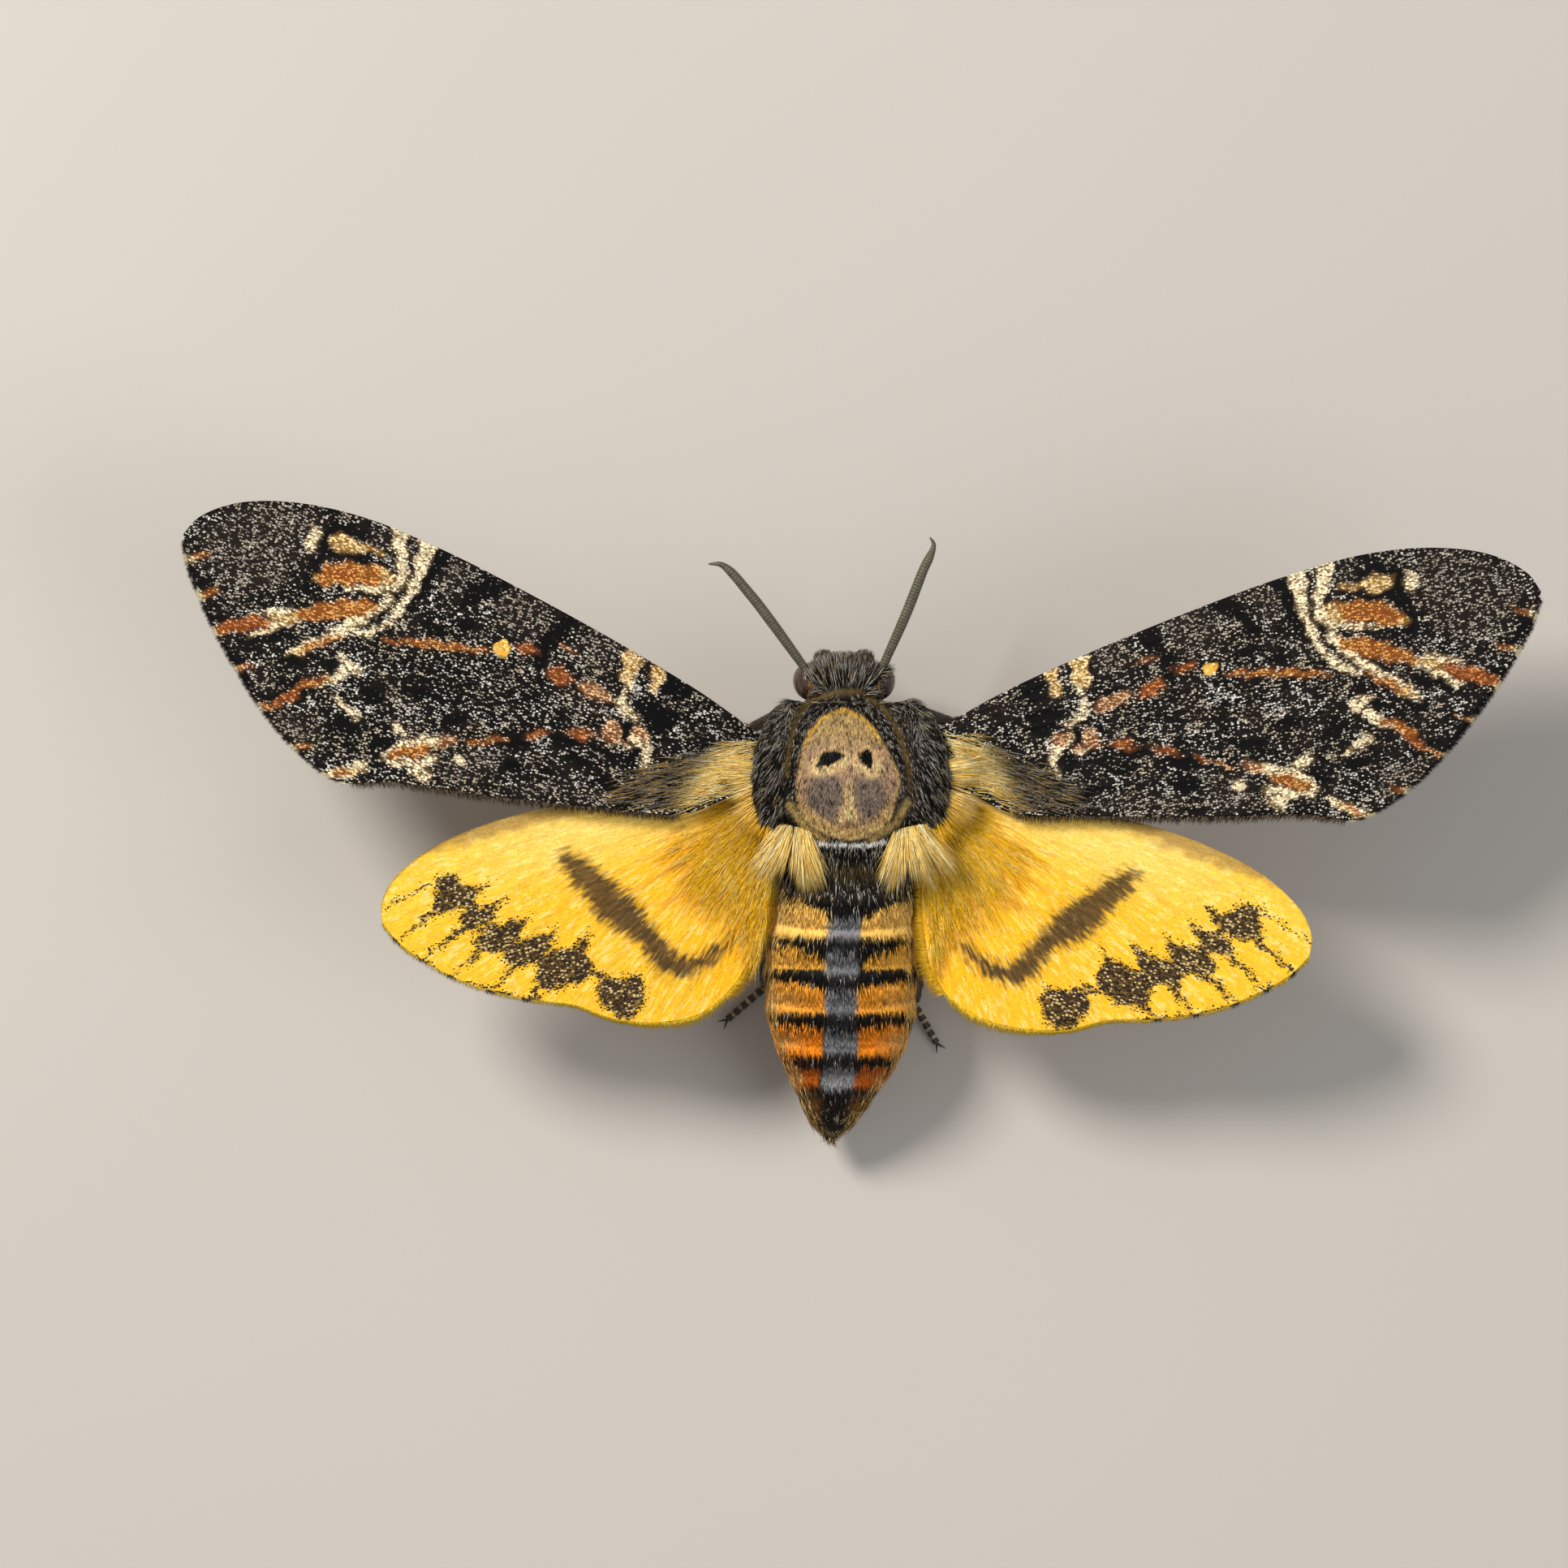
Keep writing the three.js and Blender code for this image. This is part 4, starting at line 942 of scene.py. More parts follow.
def wobble(points, seed):
    """A soft wandering of the plan, so that no mark is a ruled shape and the sides differ a little."""
    turn = seed * 1.7
    x = points[:, 0]
    y = points[:, 1]
    across = np.sin(x * 2.1 + y * 3.3 + turn) + 0.6 * np.sin(x * 5.3 - y * 4.1 + 2.0 * turn)
    ahead = np.sin(x * 2.7 - y * 2.3 + 1.3 + turn) + 0.6 * np.sin(x * 4.7 + y * 5.9 + turn)
    return np.stack([across, ahead], axis=1)


WING_KINDS = {
    "forewing": (FOREWING_EDGES, FOREWING_VEINS, FOREWING_MARKS, forewing, (260, 96)),
    "hindwing": (HINDWING_EDGES, HINDWING_VEINS, HINDWING_MARKS, hindwing, (190, 125)),
}
for name, wing in WINGS.items():
    kind, letter = name.split("_")
    edges, veins, marks, material, (columns, rows) = WING_KINDS[kind]
    flat_mesh, flat, along, across, upper, lower = wing_mesh(name, edges, veins, columns, rows)
    fields = {"out": flat[:, 0], "ahead": flat[:, 1], "vein": vein_height(along, across, veins),
              "seed": np.full(len(flat), 5.0 * SIDES[letter])}
    spokes = flat - HAIR_ORIGIN
    fields["reach"] = np.hypot(spokes[:, 0], spokes[:, 1])
    fields["bearing"] = np.arctan2(spokes[:, 1], spokes[:, 0]) * HAIR_REACH
    wandering = flat + wobble(flat, SIDES[letter]) * MARK_WOBBLE[kind]
    for colour_name, shapes in marks.items():
        fields[colour_name] = depth_of(wandering, shapes)
    mesh = close_wing(name, flat_mesh, upper, lower, fields, turned=wing["side"] < 0)
    half = len(mesh.vertices) // 2
    underside = np.repeat((0.0, 1.0), half).astype(np.float32)
    mesh.attributes.new("underside", "FLOAT", "POINT").data.foreach_set("value", underside)
    piece = object_from(f"{name}_scales", mesh, material)
    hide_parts(name)
    print(name, "has", len(mesh.polygons), "faces")

# %% [markdown]
# ## One skin for the body
# Head, collar, thorax, shoulder plates and abdomen are separate solids with fine gaps. A copy of them
# is fattened until the gaps close, remeshed into one surface and drawn in again by the depth of the
# coat, so that one seamless skin lies under the fur.

# %% Skin
FLESH = ["head", "palp_l", "palp_r", "collar", "tegula_l", "tegula_r", "thorax", "metathorax"]
FLESH += [f"abdomen_{ring}" for ring in range(1, 7)] + ["abdomen_tip"]
FATTEN = 0.22
SKIN_VOXEL = 0.24
SMOOTHING_ROUNDS = 3


def fat_copy(names):
    form = bmesh.new()
    for name in names:
        form.from_mesh(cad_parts[name].data)
    bmesh.ops.remove_doubles(form, verts=form.verts, dist=1e-6)
    form.normal_update()
    for point in form.verts:
        point.co += point.normal * FATTEN * MM
    return mesh_of(form, "fattened flesh")


def remeshed(mesh, voxel):
    holder = bpy.data.objects.new("remesh", mesh)
    scene.collection.objects.link(holder)
    modifier = holder.modifiers.new("one surface", "REMESH")
    modifier.mode = "VOXEL"
    modifier.voxel_size = voxel * MM
    ready = holder.evaluated_get(bpy.context.evaluated_depsgraph_get())
    result = bpy.data.meshes.new_from_object(ready)
    bpy.data.objects.remove(holder)
    bpy.data.meshes.remove(mesh)
    return result


def coat_depth(points):
    """How far the skin lies inside the solids, in mm: thin on the face, deep on the thorax."""
    y = points[:, 1]
    return np.interp(y, [-30, -27, -12, -8, 0, 3.5, 5.5, 8], [0.15, 0.25, 0.3, 0.5, 0.45, 0.4, 0.3, 0.15])


def largest_shell(form):
    rest = set(form.verts)
    best = set()
    while rest:
        shell = {rest.pop()}
        fresh = list(shell)
        while fresh:
            point = fresh.pop()
            for edge in point.link_edges:
                other = edge.other_vert(point)
                if other not in shell:
                    shell.add(other)
                    fresh.append(other)
        rest -= shell
        if len(shell) > len(best):
            best = shell
    bmesh.ops.delete(form, geom=[point for point in form.verts if point not in best], context="VERTS")


def drawn_in(mesh):
    form = bmesh.new()
    form.from_mesh(mesh)
    largest_shell(form)
    start = to_plan([point.co for point in form.verts])
    depth = (coat_depth(start) + FATTEN) / SMOOTHING_ROUNDS
    for _ in range(SMOOTHING_ROUNDS):
        bmesh.ops.smooth_vert(form, verts=form.verts, factor=0.5, use_axis_x=True, use_axis_y=True,
                              use_axis_z=True)
        form.normal_update()
        for point, step in zip(form.verts, depth):
            point.co -= point.normal * step * MM
    bpy.data.meshes.remove(mesh)
    return mesh_of(form, "skin")


skin_mesh = drawn_in(remeshed(fat_copy(FLESH), SKIN_VOXEL))
print("skin has", len(skin_mesh.polygons), "faces")

# %% [markdown]
# ## The markings of the body
# The thorax carries the mark that names the moth: a pale skull with two dark eye spots, on black. The
# abdomen has paired yellow patches between black bands, with a blue-grey stripe down the middle. The
# colour is a function of the place on the plan, so the skin and every tuft over it agree.

# %% Body markings
SKULL = [(-0.67, 3.7), (-2.33, 3.05), (-3.4, 1.86), (-3.88, 0.67), (-4.06, -0.52), (-4.42, -2.07),
         (-4.36, -3.26), (-4.12, -4.33), (-3.64, -5.17), (-2.57, -6), (-1.38, -6.48), (-0.19, -6.7),
         (1.12, -6.48), (2.3, -5.76), (3.02, -4.93), (3.38, -3.86), (3.8, -2.43), (3.62, -1.36),
         (3.02, -0.17), (2.43, 0.9), (1.7, 2.1), (0.76, 3.05)]
SKULL_EYES = [
    ("outline", [(-2.69, -0.88), (-2.5, -0.4), (-2.2, 0.13), (-1.38, 0.25), (-0.67, -0.1), (-1.14, -0.4),
                 (-1.86, -0.76)]),
    ("outline", [(0.58, -0.4), (0.7, 0.07), (1.12, 0.43), (1.48, 0.01), (1.48, -1.06), (1.0, -0.76)]),
]
# Each pair of patches: front edge outside, front edge inside, back edge, left and right inner edge, colour
ABDOMEN_PATCHES = [
    (-11.3, -12.7, -14.3, -1.6, 0.5, "#ffca64"),
    (-15.0, -15.9, -16.8, -1.9, 0.9, "#ffbc44"),
    (-17.8, -18.4, -20.3, -2.0, 0.2, "#ffac34"),
    (-21.2, -21.5, -23.7, -2.3, 0.5, "#ff951a"),
    (-24.4, -24.7, -26.3, -2.4, 0.3, "#c2620e"),
]
SPINE_Y = [7.4, 4.75, 2.4, 0, -5, -9.5, -12, -15, -18, -21, -24, -26.2, -28.2, -30.4]
SPINE_X = [-0.6, -0.6, -0.2, 0, 0, -0.3, -0.5, -0.8, -0.85, -0.85, -0.9, -1.1, -1.35, -1.6]
SPINE_Z = [10.3, 10.3, 11, 11, 10.9, 10.4, 10, 9.3, 8.5, 7.5, 6.3, 5.4, 4.5, 3.6]


def spine(y):
    order = np.argsort(SPINE_Y)
    ys = np.array(SPINE_Y)[order]
    return np.interp(y, ys, np.array(SPINE_X)[order]), np.interp(y, ys, np.array(SPINE_Z)[order])


def cover(depth, soft):
    share = np.clip(depth / (2 * soft) + 0.5, 0, 1)
    return share * share * (3 - 2 * share)


def lay(colours, mask, code, strength=1.0):
    share = (mask * strength)[:, None]
    return colours * (1 - share) + tint(code) * share


GOLD_ARCH = [(-5.2, -1.6), (-4.95, 0.6), (-4.6, 2.3), (-3.9, 3.6), (-3.0, 4.4), (-1.2, 4.9), (0.6, 4.9),
             (2.2, 4.0), (3.3, 2.4), (4.0, 0.6), (4.5, -1.4), (4.5, -2.9)]


def thorax_colours(colours, flat, top):
    skull = depth_in_outline(flat, SKULL)
    low = cover(-0.3 - flat[:, 1], 0.8)
    colours = lay(colours, cover(skull + 0.8, 0.35) * top, "#0d0a08")
    colours = lay(colours, cover(depth_of(flat, [("line", GOLD_ARCH, 0.16)]), 0.2) * top, "#7d6330", 0.7)
    tan = cover(skull, 0.16) * top
    colours = lay(colours, tan, "#ab8a6a")
    crown = cover(flat[:, 1] - 0.9, 0.9) * tan
    colours = lay(colours, crown, "#b0945a", 0.75)
    rim = cover(0.16 - np.abs(skull - 0.14), 0.12) * tan
    colours = lay(colours, rim * cover(flat[:, 1] - 0.9, 1.0), "#d2a03a", 0.9)
    colours = lay(colours, rim * cover(0.9 - flat[:, 1], 1.0), "#c3a065", 0.7)
    for centre, radii in (((-2.1, -3.2), (1.5, 2.0)), ((1.36, -3.2), (1.3, 1.85))):
        cheek = cover(depth_in_spot(flat, centre, radii), 0.4) * tan
        colours = lay(colours, cheek, "#75665a", 0.92)
    wedge = depth_in_outline(flat, [(-0.35, -2.3), (-1.05, -5.3), (0.45, -5.3)])
    colours = lay(colours, cover(wedge + 0.1, 0.25) * tan, "#e6bf82", 0.8)
    seam = [("line", [(-0.3, -2.3), (-0.3, -3.6)], 0.09)]
    colours = lay(colours, cover(depth_of(flat, seam), 0.1) * tan, "#5a4434", 0.7)
    colours = lay(colours, cover(depth_in_spot(flat, (-0.25, -5.7), (0.6, 0.5)), 0.2) * tan, "#6a4230", 0.7)
    chin = cover(0.9 - skull, 0.3) * tan * cover(-4.2 - flat[:, 1], 0.8)
    colours = lay(colours, chin, "#d4ab68", 0.75)
    halo = depth_of(flat, SKULL_EYES)
    colours = lay(colours, cover(halo + 0.35, 0.2) * tan, "#e0b478", 0.8)
    colours = lay(colours, cover(halo + 0.8, 0.3) * tan * low, "#f0c88c", 0.85)
    colours = lay(colours, cover(halo + 0.12, 0.06) * tan, "#030202")
    band = [("patch", -4.6, 4.2, -8.3, -6.75)]
    colours = lay(colours, cover(depth_of(flat, band), 0.2) * top, "#0f0b09")
    white = [("line", [(-3.5, -6.85), (-2.0, -7.05), (-0.6, -7.15)], 0.17),
             ("line", [(-0.07, -7.2), (1.4, -7.1), (2.6, -6.85)], 0.17)]
    colours = lay(colours, cover(depth_of(flat, white), 0.08) * top, "#f2ece0")
    strips = [("line", [(-4.9, -4.0), (-3.6, -5.9), (-2.2, -6.6)], 0.3),
              ("line", [(4.3, -3.8), (3.4, -5.4), (1.6, -6.6)], 0.3)]
    return lay(colours, cover(depth_of(flat, strips), 0.3) * top * (1 - tan), "#cfae6c", 0.7)


def abdomen_colours(colours, flat, top, behind):
    middle = spine(flat[:, 1])[0]
    aside = flat[:, 0] - middle
    y = flat[:, 1]
    base = lay(colours, np.ones(len(y)), "#14100d")
    for outer, inner, back, left, right, code in ABDOMEN_PATCHES:
        inner_edge = np.where(aside < 0, -(left + 0.85), right + 0.85)
        from_middle = np.abs(aside) - np.maximum(inner_edge, 0.75)
        front = inner + (outer - inner) * np.clip(from_middle / 3.0, 0, 1)
        depth = np.minimum(np.minimum(front - y, y - back), from_middle)
        base = lay(base, cover(depth, 0.16), code)
        pale = cover(depth - 0.5, 0.7) * cover(np.abs(aside) - 3.2, 1.0)
        base = lay(base, pale, "#efc872", 0.4)
        ring_middle = cover(0.85 - np.abs(y - (inner + back) / 2), 0.3)
        stripe = cover(1.25 - np.abs(aside), 0.3) * top
        base = lay(base, stripe * ring_middle, "#b0aeae", 0.92)
    stripe = cover(1.1 - np.abs(aside), 0.4) * top * cover(-12.5 - y, 1.0) * cover(y + 25.6, 1.0)
    base = lay(base, stripe, "#3a393c", 0.45)
    base = lay(base, cover(y + 11.4, 0.7), "#2b241e", 0.9)
    olive = cover(depth_in_spot(flat, (0.6, -8.7), (3.2, 0.9)), 0.4) * top
    base = lay(base, olive, "#6d5a30", 0.6)
    tip = cover(-26.9 - y, 0.4)
    base = lay(base, tip, "#1e140d")
    base = lay(base, tip * cover(np.abs(aside) - 1.2, 0.5), "#8a5c22", 0.7)
    return colours * (1 - behind[:, None]) + base * behind[:, None]


def body_colours(points, normals):
    flat = points[:, :2]
    y = points[:, 1]
    top = cover(normals[:, 2] - 0.05, 0.25)
    colours = np.tile(tint("#1c1814"), (len(points), 1))
    colours = lay(colours, cover(y - 5.2, 0.4), "#241c16")
    colours = thorax_colours(colours, flat, top * cover(y + 8.6, 0.3))
    colours = abdomen_colours(colours, flat, top, cover(-8.6 - y, 0.3))
    below = cover(-normals[:, 2] - 0.25, 0.25)
    bands = 0.5 + 0.5 * np.cos((y + 12.3) * math.tau / 2.95)
    under = np.tile(tint("#6f5738"), (len(points), 1))
    under = lay(under, cover(-9.5 - y, 1.0), "#c79a4e")
    under = lay(under, cover(-9.5 - y, 1.0) * cover(bands - 0.8, 0.15), "#4a3524", 0.8)
    return colours * (1 - below[:, None]) + under * below[:, None]


def vertex_normals(mesh):
    flat = np.empty(len(mesh.vertices) * 3)
    mesh.vertices.foreach_get("normal", flat)
    return flat.reshape(-1, 3)


skin_points = to_plan(points_of(skin_mesh))
skin_colours = np.ones((len(skin_points), 4), dtype=np.float32)
# painted shade: the skin under the fur is darkened to 0.8 of its colour, except under the abdomen
skin_shade = np.where(skin_points[:, 1:2] < -9.5, 1.0, 0.8)
skin_colours[:, :3] = body_colours(skin_points, vertex_normals(skin_mesh)) * skin_shade
layer = skin_mesh.color_attributes.new("coat colour", "FLOAT_COLOR", "POINT")
layer.data.foreach_set("color", skin_colours.ravel())
skin = object_from("skin", skin_mesh, fur)
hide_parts(*FLESH)

# %% [markdown]
# ## Growing the coat
# Roots are scattered over the skin by area. A tuft lies backwards along the body, rises a little from
# the skin and droops again. Length, width and rise follow the region: short on the face and over the
# skull mark, shaggy on the shoulders' sides, longer at each ring's back edge.

# %% Scatter and comb
rng = np.random.default_rng(11)


def scattered(mesh, thickness, rng):
    """Roots over a mesh: thickness gives the tufts for each square millimetre at a place."""
    mesh.calc_loop_triangles()
    corners = np.empty(len(mesh.loop_triangles) * 3, dtype=np.int32)
    mesh.loop_triangles.foreach_get("vertices", corners)
    corners = corners.reshape(-1, 3)
    points = to_plan(points_of(mesh))
    normals = vertex_normals(mesh)
    a, b, c = (points[corners[:, i]] for i in range(3))
    area = np.linalg.norm(np.cross(b - a, c - a), axis=1) / 2
    wanted = area * thickness((a + b + c) / 3, normals[corners].mean(1))
    count = int(wanted.sum())
    chosen = rng.choice(len(area), size=count, p=wanted / wanted.sum())
    u = np.sqrt(rng.random(count))[:, None]
    v = rng.random(count)[:, None]
    weights = np.concatenate([1 - u, u * (1 - v), u * v], axis=1)
    picked = corners[chosen]
    roots = (points[picked] * weights[..., None]).sum(1)
    up = (normals[picked] * weights[..., None]).sum(1)
    return roots, up / np.linalg.norm(up, axis=1)[:, None]


def along_surface(direction, up):
    lie = direction - up * (direction * up).sum(1)[:, None]
    return lie / np.maximum(np.linalg.norm(lie, axis=1), 1e-6)[:, None]


def turned(lie, up, angle):
    side = np.cross(up, lie)
    return lie * np.cos(angle)[:, None] + side * np.sin(angle)[:, None]


def body_map(points):
    x, z = spine(points[:, 1])
    angle = np.arctan2(points[:, 0] - x, points[:, 2] - z)
    return np.stack([0.01 + 0.97 * (angle / math.tau + 0.5), 0.01 + 0.97 * (points[:, 1] + 31) / 40], axis=1)


def body_lie(roots):
    x, z = spine(roots[:, 1])
    aside = roots[:, 0] - x
    y = roots[:, 1]
    head = cover(y - 4.9, 0.3)
    back = np.stack([aside * 0.05, -np.ones(len(y)), np.full(len(y), -0.1)], axis=1)
    shoulder = cover(np.abs(aside) - 4.6, 0.6) * cover(y + 7, 1.0) * (1 - head)
    back[:, 0] += np.sign(aside) * shoulder * 0.35
    ahead = np.stack([aside * 0.12, np.ones(len(y)), np.full(len(y), 0.25)], axis=1)
    return back * (1 - head[:, None]) + ahead * head[:, None]


RING_BACKS = np.array([-12.3, -15.2, -18.2, -21.2, -24.1, -26.7])


def side_share(roots, up):
    """How much a place belongs to the abdomen's flank, where long pale hair stands out."""
    return cover(0.5 - up[:, 2], 0.25) * cover(up[:, 2] + 0.25, 0.3) * cover(-9.5 - roots[:, 1], 0.8)


def body_manner(roots, up, rng):
    y = roots[:, 1]
    aside = np.abs(roots[:, 0] - spine(y)[0])
    count = len(y)
    low = cover(0.1 - up[:, 2], 0.4)
    length = np.interp(y, [-30.5, -28, -26.5, -11, -9.5, -7.5, -6.5, 3, 5, 8],
                       [1.3, 1.2, 0.8, 0.85, 1.5, 1.1, 0.5, 0.5, 0.8, 0.55])
    shoulder = cover(aside - 5.4, 0.6) * cover(y + 7.5, 0.8) * cover(0.5 - y, 1.2)
    length = length + shoulder * 0.9
    to_back = np.abs(y[:, None] - RING_BACKS[None]).min(1)
    length = length + 0.35 * cover(0.5 - to_back, 0.3) * cover(-11 - y, 0.3)
    length = length + 0.7 * side_share(roots, up) * (rng.random(count) < 0.45)
    length = length * (1 + 0.15 * low) * rng.uniform(0.7, 1.2, count)
    width = np.interp(y, [-11, -9, -7, -6], [0.14, 0.1, 0.09, 0.075]) + 0.02 * shoulder + 0.02 * low
    width = width * rng.uniform(0.6, 1.4, count)
    rise = np.interp(y, [-30, -11, -9, -7, 4, 6], [0.2, 0.2, 0.36, 0.34, 0.34, 0.3])
    rise = rise * rng.uniform(0.55, 1.5, count)
    return length, width, rise, rise * rng.uniform(0.5, 0.85, count)


def coat_thickness(points, normals):
    top = cover(normals[:, 2], 0.3)
    tapering = cover(points[:, 1] + 29.5, 1.5)
    return 20 + 46 * top * np.maximum(tapering, 0.4)


def clump_draw(roots, spacing, rng):
    """A random number for each hair that it mostly shares with the few hairs beside it."""
    middles = roots[rng.random(len(roots)) < spacing]
    tree = KDTree(len(middles))
    for number, middle in enumerate(middles):
        tree.insert(middle, number)
    tree.balance()
    nearest = np.array([tree.find(root)[1] for root in roots])
    shared = rng.random(len(middles))[nearest]
    return np.where(rng.random(len(roots)) < 0.72, shared, rng.random(len(roots)))


def frosted(colours, roots, rng):
    """Fur is a mix of dark, plain and pale-tipped hairs, and the mix differs from place to place."""
    count = len(colours)
    draw = clump_draw(roots, 0.22, rng)[:, None]
    sum_of = colours.sum(1, keepdims=True)
    dark_place = cover(0.14 - sum_of, 0.05)
    y = roots[:, 1:2]
    frost = 0.2 + 0.14 * cover(y + 7.5, 1.0) + 0.08 * cover(y - 4.6, 0.4)
    frost = np.where((sum_of < 0.009) | (y < -11), 0.06, frost)
    grey = np.where(rng.random((count, 1)) < 0.78, tint("#b3aca0"), tint("#ab9064"))
    plain = colours * rng.uniform(0.6, 1.3, (count, 1))
    deep = colours * rng.uniform(0.1, 0.4, (count, 1))
    light = np.minimum(colours * rng.uniform(1.6, 2.3, (count, 1)), 0.95)
    lone = np.where(rng.random((count, 1)) < 0.6, rng.random((count, 1)), draw)
    on_dark = np.where(lone < frost, grey * rng.uniform(0.45, 1.15, (count, 1)), plain * 0.7)
    speckled = cover(y + 8.0, 0.5)
    rough = np.where(draw < 0.2, deep, np.where(draw < 0.52, light, plain * 1.15))
    calm = np.where(draw < 0.03, deep, colours * (0.86 + 0.14 * draw))
    on_pale = rough * speckled + calm * (1 - speckled)
    return on_dark * dark_place + on_pale * (1 - dark_place)


def coat_of(roots, up, lie, length, width, rise, droop, rng):
    reach = np.where(roots[:, 1] > -8.2, 0.5, rng.uniform(0.05, 0.55, len(roots)))
    seen_at = roots + lie * (length * reach)[:, None]
    colours = frosted(body_colours(seen_at + rng.normal(0, 0.03, roots.shape), up), roots, rng)
    flank = (side_share(roots, up) > 0.3) & (rng.random(len(roots)) < 0.4)
    cream = tint("#e3c07a") * rng.uniform(0.5, 1.1, (len(roots), 1))
    colours = np.where(flank[:, None], cream, colours)
    # painted shade at the roots: locks on the head and thorax are darkened to half at the root, those on the
    # abdomen not at all
    shade_at_root = np.where(roots[:, 1] < -9.5, 1.0, 0.5)
    return {"root": roots - up * 0.03, "lie": lie, "up": up, "length": length, "width": width, "rise": rise,
            "droop": droop, "colour": colours, "map": body_map(roots), "root_shade": shade_at_root}


roots, up = scattered(skin_mesh, coat_thickness, rng)
lie = turned(along_surface(body_lie(roots), up), up, rng.normal(0, 0.14, len(roots)))
coat = coat_of(roots, up, lie, *body_manner(roots, up, rng), rng)
print("the body's coat has", len(roots), "tufts")

# %% Lay the coat in pieces
COAT_PARTS = {
    "head": lambda y, x, z: y > 4.9,
    "collar": lambda y, x, z: (y <= 4.9) & (y > 2.2),
    "shoulder_l": lambda y, x, z: (y <= 2.2) & (y > -8.6) & (x < -4.3),
    "shoulder_r": lambda y, x, z: (y <= 2.2) & (y > -8.6) & (x > 4.3),
    "skull": lambda y, x, z: (y <= 2.2) & (y > -8.6) & (np.abs(x) <= 4.3) & (z > 10),
    "chest": lambda y, x, z: (y <= 2.2) & (y > -8.6) & (np.abs(x) <= 4.3) & (z <= 10),
    "abdomen_front": lambda y, x, z: (y <= -8.6) & (y > -14.0),
    "abdomen_middle": lambda y, x, z: (y <= -14.0) & (y > -19.2),
    "abdomen_rear": lambda y, x, z: y <= -19.2,
}
MOST_TUFTS = 18000


def part_of(tufts, chosen):
    return {key: value[chosen] if isinstance(value, np.ndarray) else value for key, value in tufts.items()}


for part, rule in COAT_PARTS.items():
    chosen = np.flatnonzero(rule(roots[:, 1], roots[:, 0], roots[:, 2]))
    for number, piece_tufts in enumerate(np.array_split(chosen, -(-len(chosen) // MOST_TUFTS))):
        name = f"coat_{part}_{number + 1}"
        piece = object_from(name, tuft_mesh(name, part_of(coat, piece_tufts)), fur)
        print(name, len(piece_tufts), "tufts")

# %% [markdown]
# ## Longer fur
# Some fur has a way of its own. A cap of hair stands forward over the face between the feelers, brows
# lean out over the eyes, a ruff lies back from the collar along each side of the thorax, and a brush
# ends the abdomen. Roots are scattered over a patch of the plan and dropped on the skin, and the locks
# point where the patch says.

# %% Cap, brows, ruffs and tip
skin_form = bmesh.new()
skin_form.from_mesh(skin_mesh)
skin_tree = BVHTree.FromBMesh(skin_form)
skin_form.free()
CAP_FRONT = 8.35
CAP_ROUND = 0.16
# Each patch: outline on the plan, way of the hair at a place, tufts, shortest and longest, rise
LONG_FUR = {
    "cap": ([(-3.2, 5.2), (2.1, 5.2), (2.1, 6.6), (1.4, 7.7), (-2.6, 7.7), (-3.3, 6.6)],
            lambda x, y: ((x + 0.6) * 0.32, 1.0 + 0 * x), 5600, (0.8, 1.7), 0.3),
    "brow_l": ([(-3.4, 4.6), (-2.2, 4.6), (-2.0, 6.6), (-3.0, 6.6)],
               lambda x, y: (-1.0 + 0 * x, 0.35 + 0 * x), 1100, (0.5, 1.0), 0.5),
    "brow_r": ([(0.9, 4.6), (2.4, 4.6), (2.2, 6.8), (0.9, 6.8)],
               lambda x, y: (0.9 + 0 * x, 0.35 + 0 * x), 2600, (0.9, 1.6), 0.5),
    "ruff_l": ([(-5.8, 1.0), (-5.7, 3.6), (-4.9, 4.4), (-3.8, 4.9), (-4.2, 3.8), (-5.0, 2.6), (-5.2, 1.0)],
               lambda x, y: (-0.45 + 0 * x, -1.0 + 0 * x), 1700, (0.7, 1.5), 0.14),
    "ruff_r": ([(5.6, 1.2), (5.5, 3.6), (4.6, 4.4), (3.5, 4.8), (4.0, 3.8), (4.8, 2.6), (5.0, 1.2)],
               lambda x, y: (0.45 + 0 * x, -1.0 + 0 * x), 1700, (0.7, 1.5), 0.14),
    "tip": ([(-3.3, -26.9), (0.5, -26.9), (0.2, -29.0), (-2.7, -29.6)],
            lambda x, y: (-2.7 - x, -31.4 - y), 700, (0.7, 1.5), 0.2),
}


def dropped(flat):
    """Roots and normals where vertical lines at these places meet the skin from above."""
    found = []
    for x, y in flat:
        place, normal, *_ = skin_tree.ray_cast(Vector(to_frame((x, y, 30))), Vector((0, 0, -1)))
        if place and normal.z > 0.05:
            found.append((*to_plan(place), *normal))
    return np.array(found)[:, :3], np.array(found)[:, 3:]


